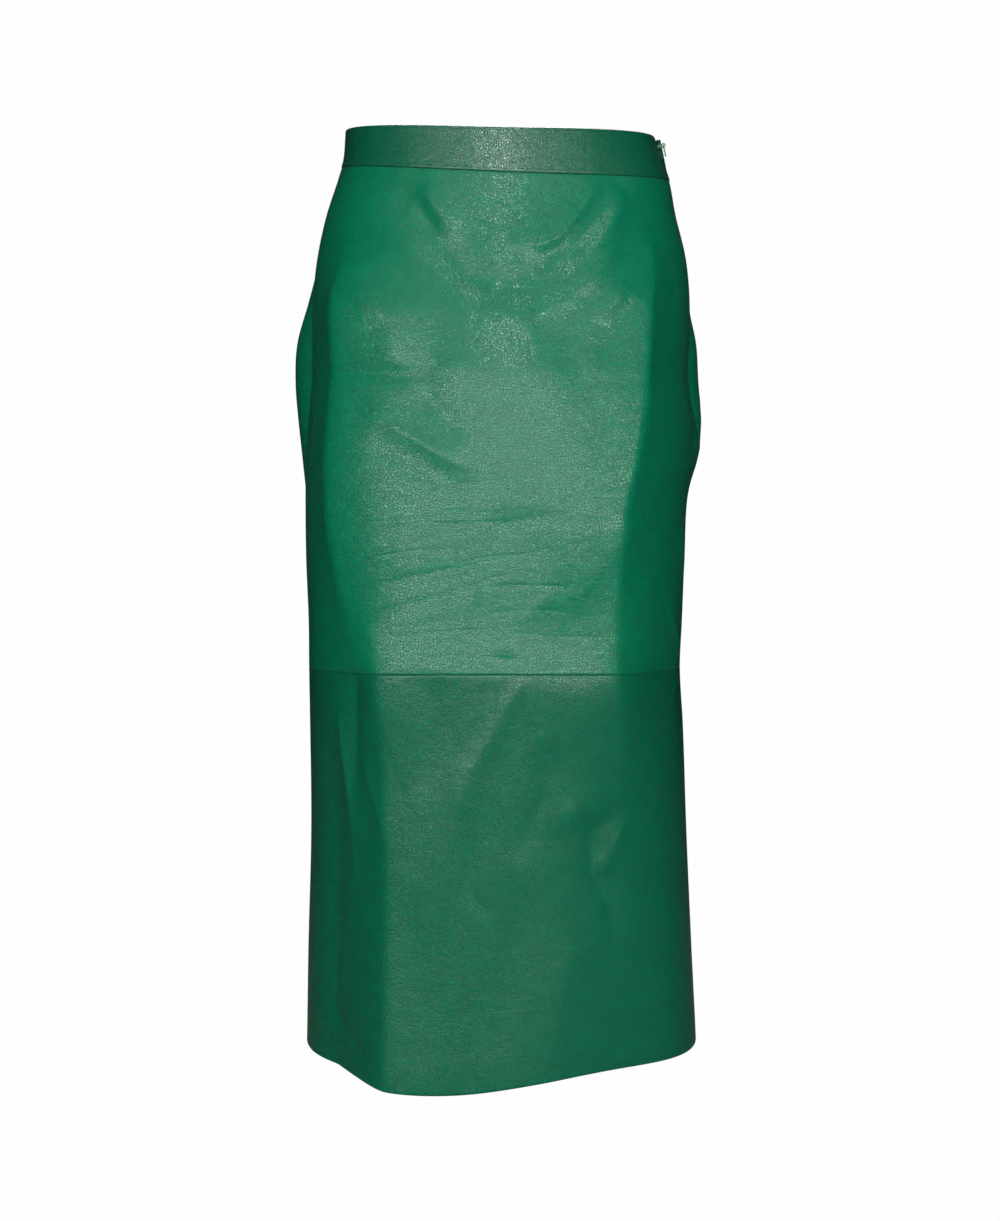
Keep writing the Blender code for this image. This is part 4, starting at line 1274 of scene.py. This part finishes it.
class SKIRT_OT_stage(bpy.types.Operator):
    """Set up the pale floor, the soft studio lights, the white surround and the camera"""

    bl_idname = "skirt.stage"
    bl_label = "Stage"

    def execute(self, context):
        scene = context.scene
        scene.view_settings.view_transform = "Standard"
        self.surround(scene)
        self.floor()
        for light in LIGHTS:
            self.softbox(light)
        camera = bpy.data.objects.new("camera", bpy.data.cameras.new("camera"))
        scene.collection.objects.link(camera)
        camera.location = CAMERA_PLACE
        camera.rotation_euler = (np.pi / 2, 0, 0)
        camera.data.sensor_width = SENSOR
        camera.data.lens = FOCAL_PIXELS / PICTURE[1] * SENSOR
        camera.data.shift_y = (HORIZON_ROW - PICTURE[1] / 2) / PICTURE[1]
        scene.camera = camera
        return {"FINISHED"}

    def softbox(self, light):
        """A light of LIGHTS, round where it is a key and square-cornered otherwise."""
        data = bpy.data.lights.new(light.name, "AREA")
        data.shape = "ELLIPSE" if light.name.endswith("key") else "RECTANGLE"
        data.size, data.size_y = light.width, light.height
        data.energy = light.power
        data.color = linear(light.colour)[:3]
        lamp = bpy.data.objects.new(light.name, data)
        bpy.context.scene.collection.objects.link(lamp)
        lamp.location = light.place
        aim = Vector(light.facing) - Vector(light.place)
        lamp.rotation_euler = aim.to_track_quat("-Z", "Y").to_euler()

    def surround(self, scene):
        """White to the eye, and a dim warm room to the leather's gloss."""
        world = bpy.data.worlds.new("studio")
        scene.world = world
        world.use_nodes = True
        tree = world.node_tree
        tree.nodes.clear()
        seen = put(tree, "Background", {"Color": linear(SURROUND), "Strength": 1.0})
        room = put(tree, "Background", {"Color": linear(ROOM), "Strength": ROOM_STRENGTH})
        fill(tree, put(tree, "OutputWorld"), {0: self.by_ray(tree, seen, room)})

    def floor(self):
        """White to the eye, so that it has no horizon, and grey to the skirt."""
        mesh = bpy.data.meshes.new("floor")
        corners = [(x * FLOOR_HALF, y * FLOOR_HALF, FLOOR_LEVEL) for x, y in SQUARE]
        mesh.from_pydata(corners, [], [(0, 1, 2, 3)])
        floor = bpy.data.objects.new("floor", mesh)
        bpy.context.scene.collection.objects.link(floor)
        material, tree, shader = new_material("pale_floor")
        fill(tree, shader, {"Base Color": linear(FLOOR), "Roughness": FLOOR_ROUGHNESS})
        white = put(tree, "Emission", {"Color": linear(SURROUND), "Strength": 1.0})
        fill(tree, tree.nodes["Material Output"], {0: self.by_ray(tree, white, shader)})
        mesh.materials.append(material)

    def by_ray(self, tree, seen, other):
        """One shader for what the camera sees straight, and another for all other rays."""
        rays = put(tree, "LightPath").outputs["Is Camera Ray"]
        return put(tree, "MixShader", {0: rays, 1: other.outputs[0], 2: seen.outputs[0]}).outputs[0]


class SKIRT_PT_sidebar(bpy.types.Panel):
    bl_label = "Leather pencil skirt"
    bl_space_type = "VIEW_3D"
    bl_region_type = "UI"
    bl_category = "Skirt"

    def draw(self, context):
        layout = self.layout
        for name in SkirtSettings.__annotations__:
            layout.prop(context.scene.skirt_settings, name)
        for operator in OPERATORS:
            layout.operator(operator.bl_idname)


# What is sewn on comes before the cloth that it is declared with
OPERATORS = (
    SKIRT_OT_zip,
    SKIRT_OT_panels,
    SKIRT_OT_topstitching,
    SKIRT_OT_waistband,
    SKIRT_OT_stage,
)
CLASSES = (SkirtSettings, *OPERATORS, SKIRT_PT_sidebar)


def register():
    for each in CLASSES:
        bpy.utils.register_class(each)
    bpy.types.Scene.skirt_settings = bpy.props.PointerProperty(type=SkirtSettings)


def unregister():
    del bpy.types.Scene.skirt_settings
    for each in reversed(CLASSES):
        bpy.utils.unregister_class(each)


def main():
    register()
    for operator in OPERATORS:
        group, name = operator.bl_idname.split(".")
        getattr(getattr(bpy.ops, group), name)()


if __name__ == "__main__":
    main()
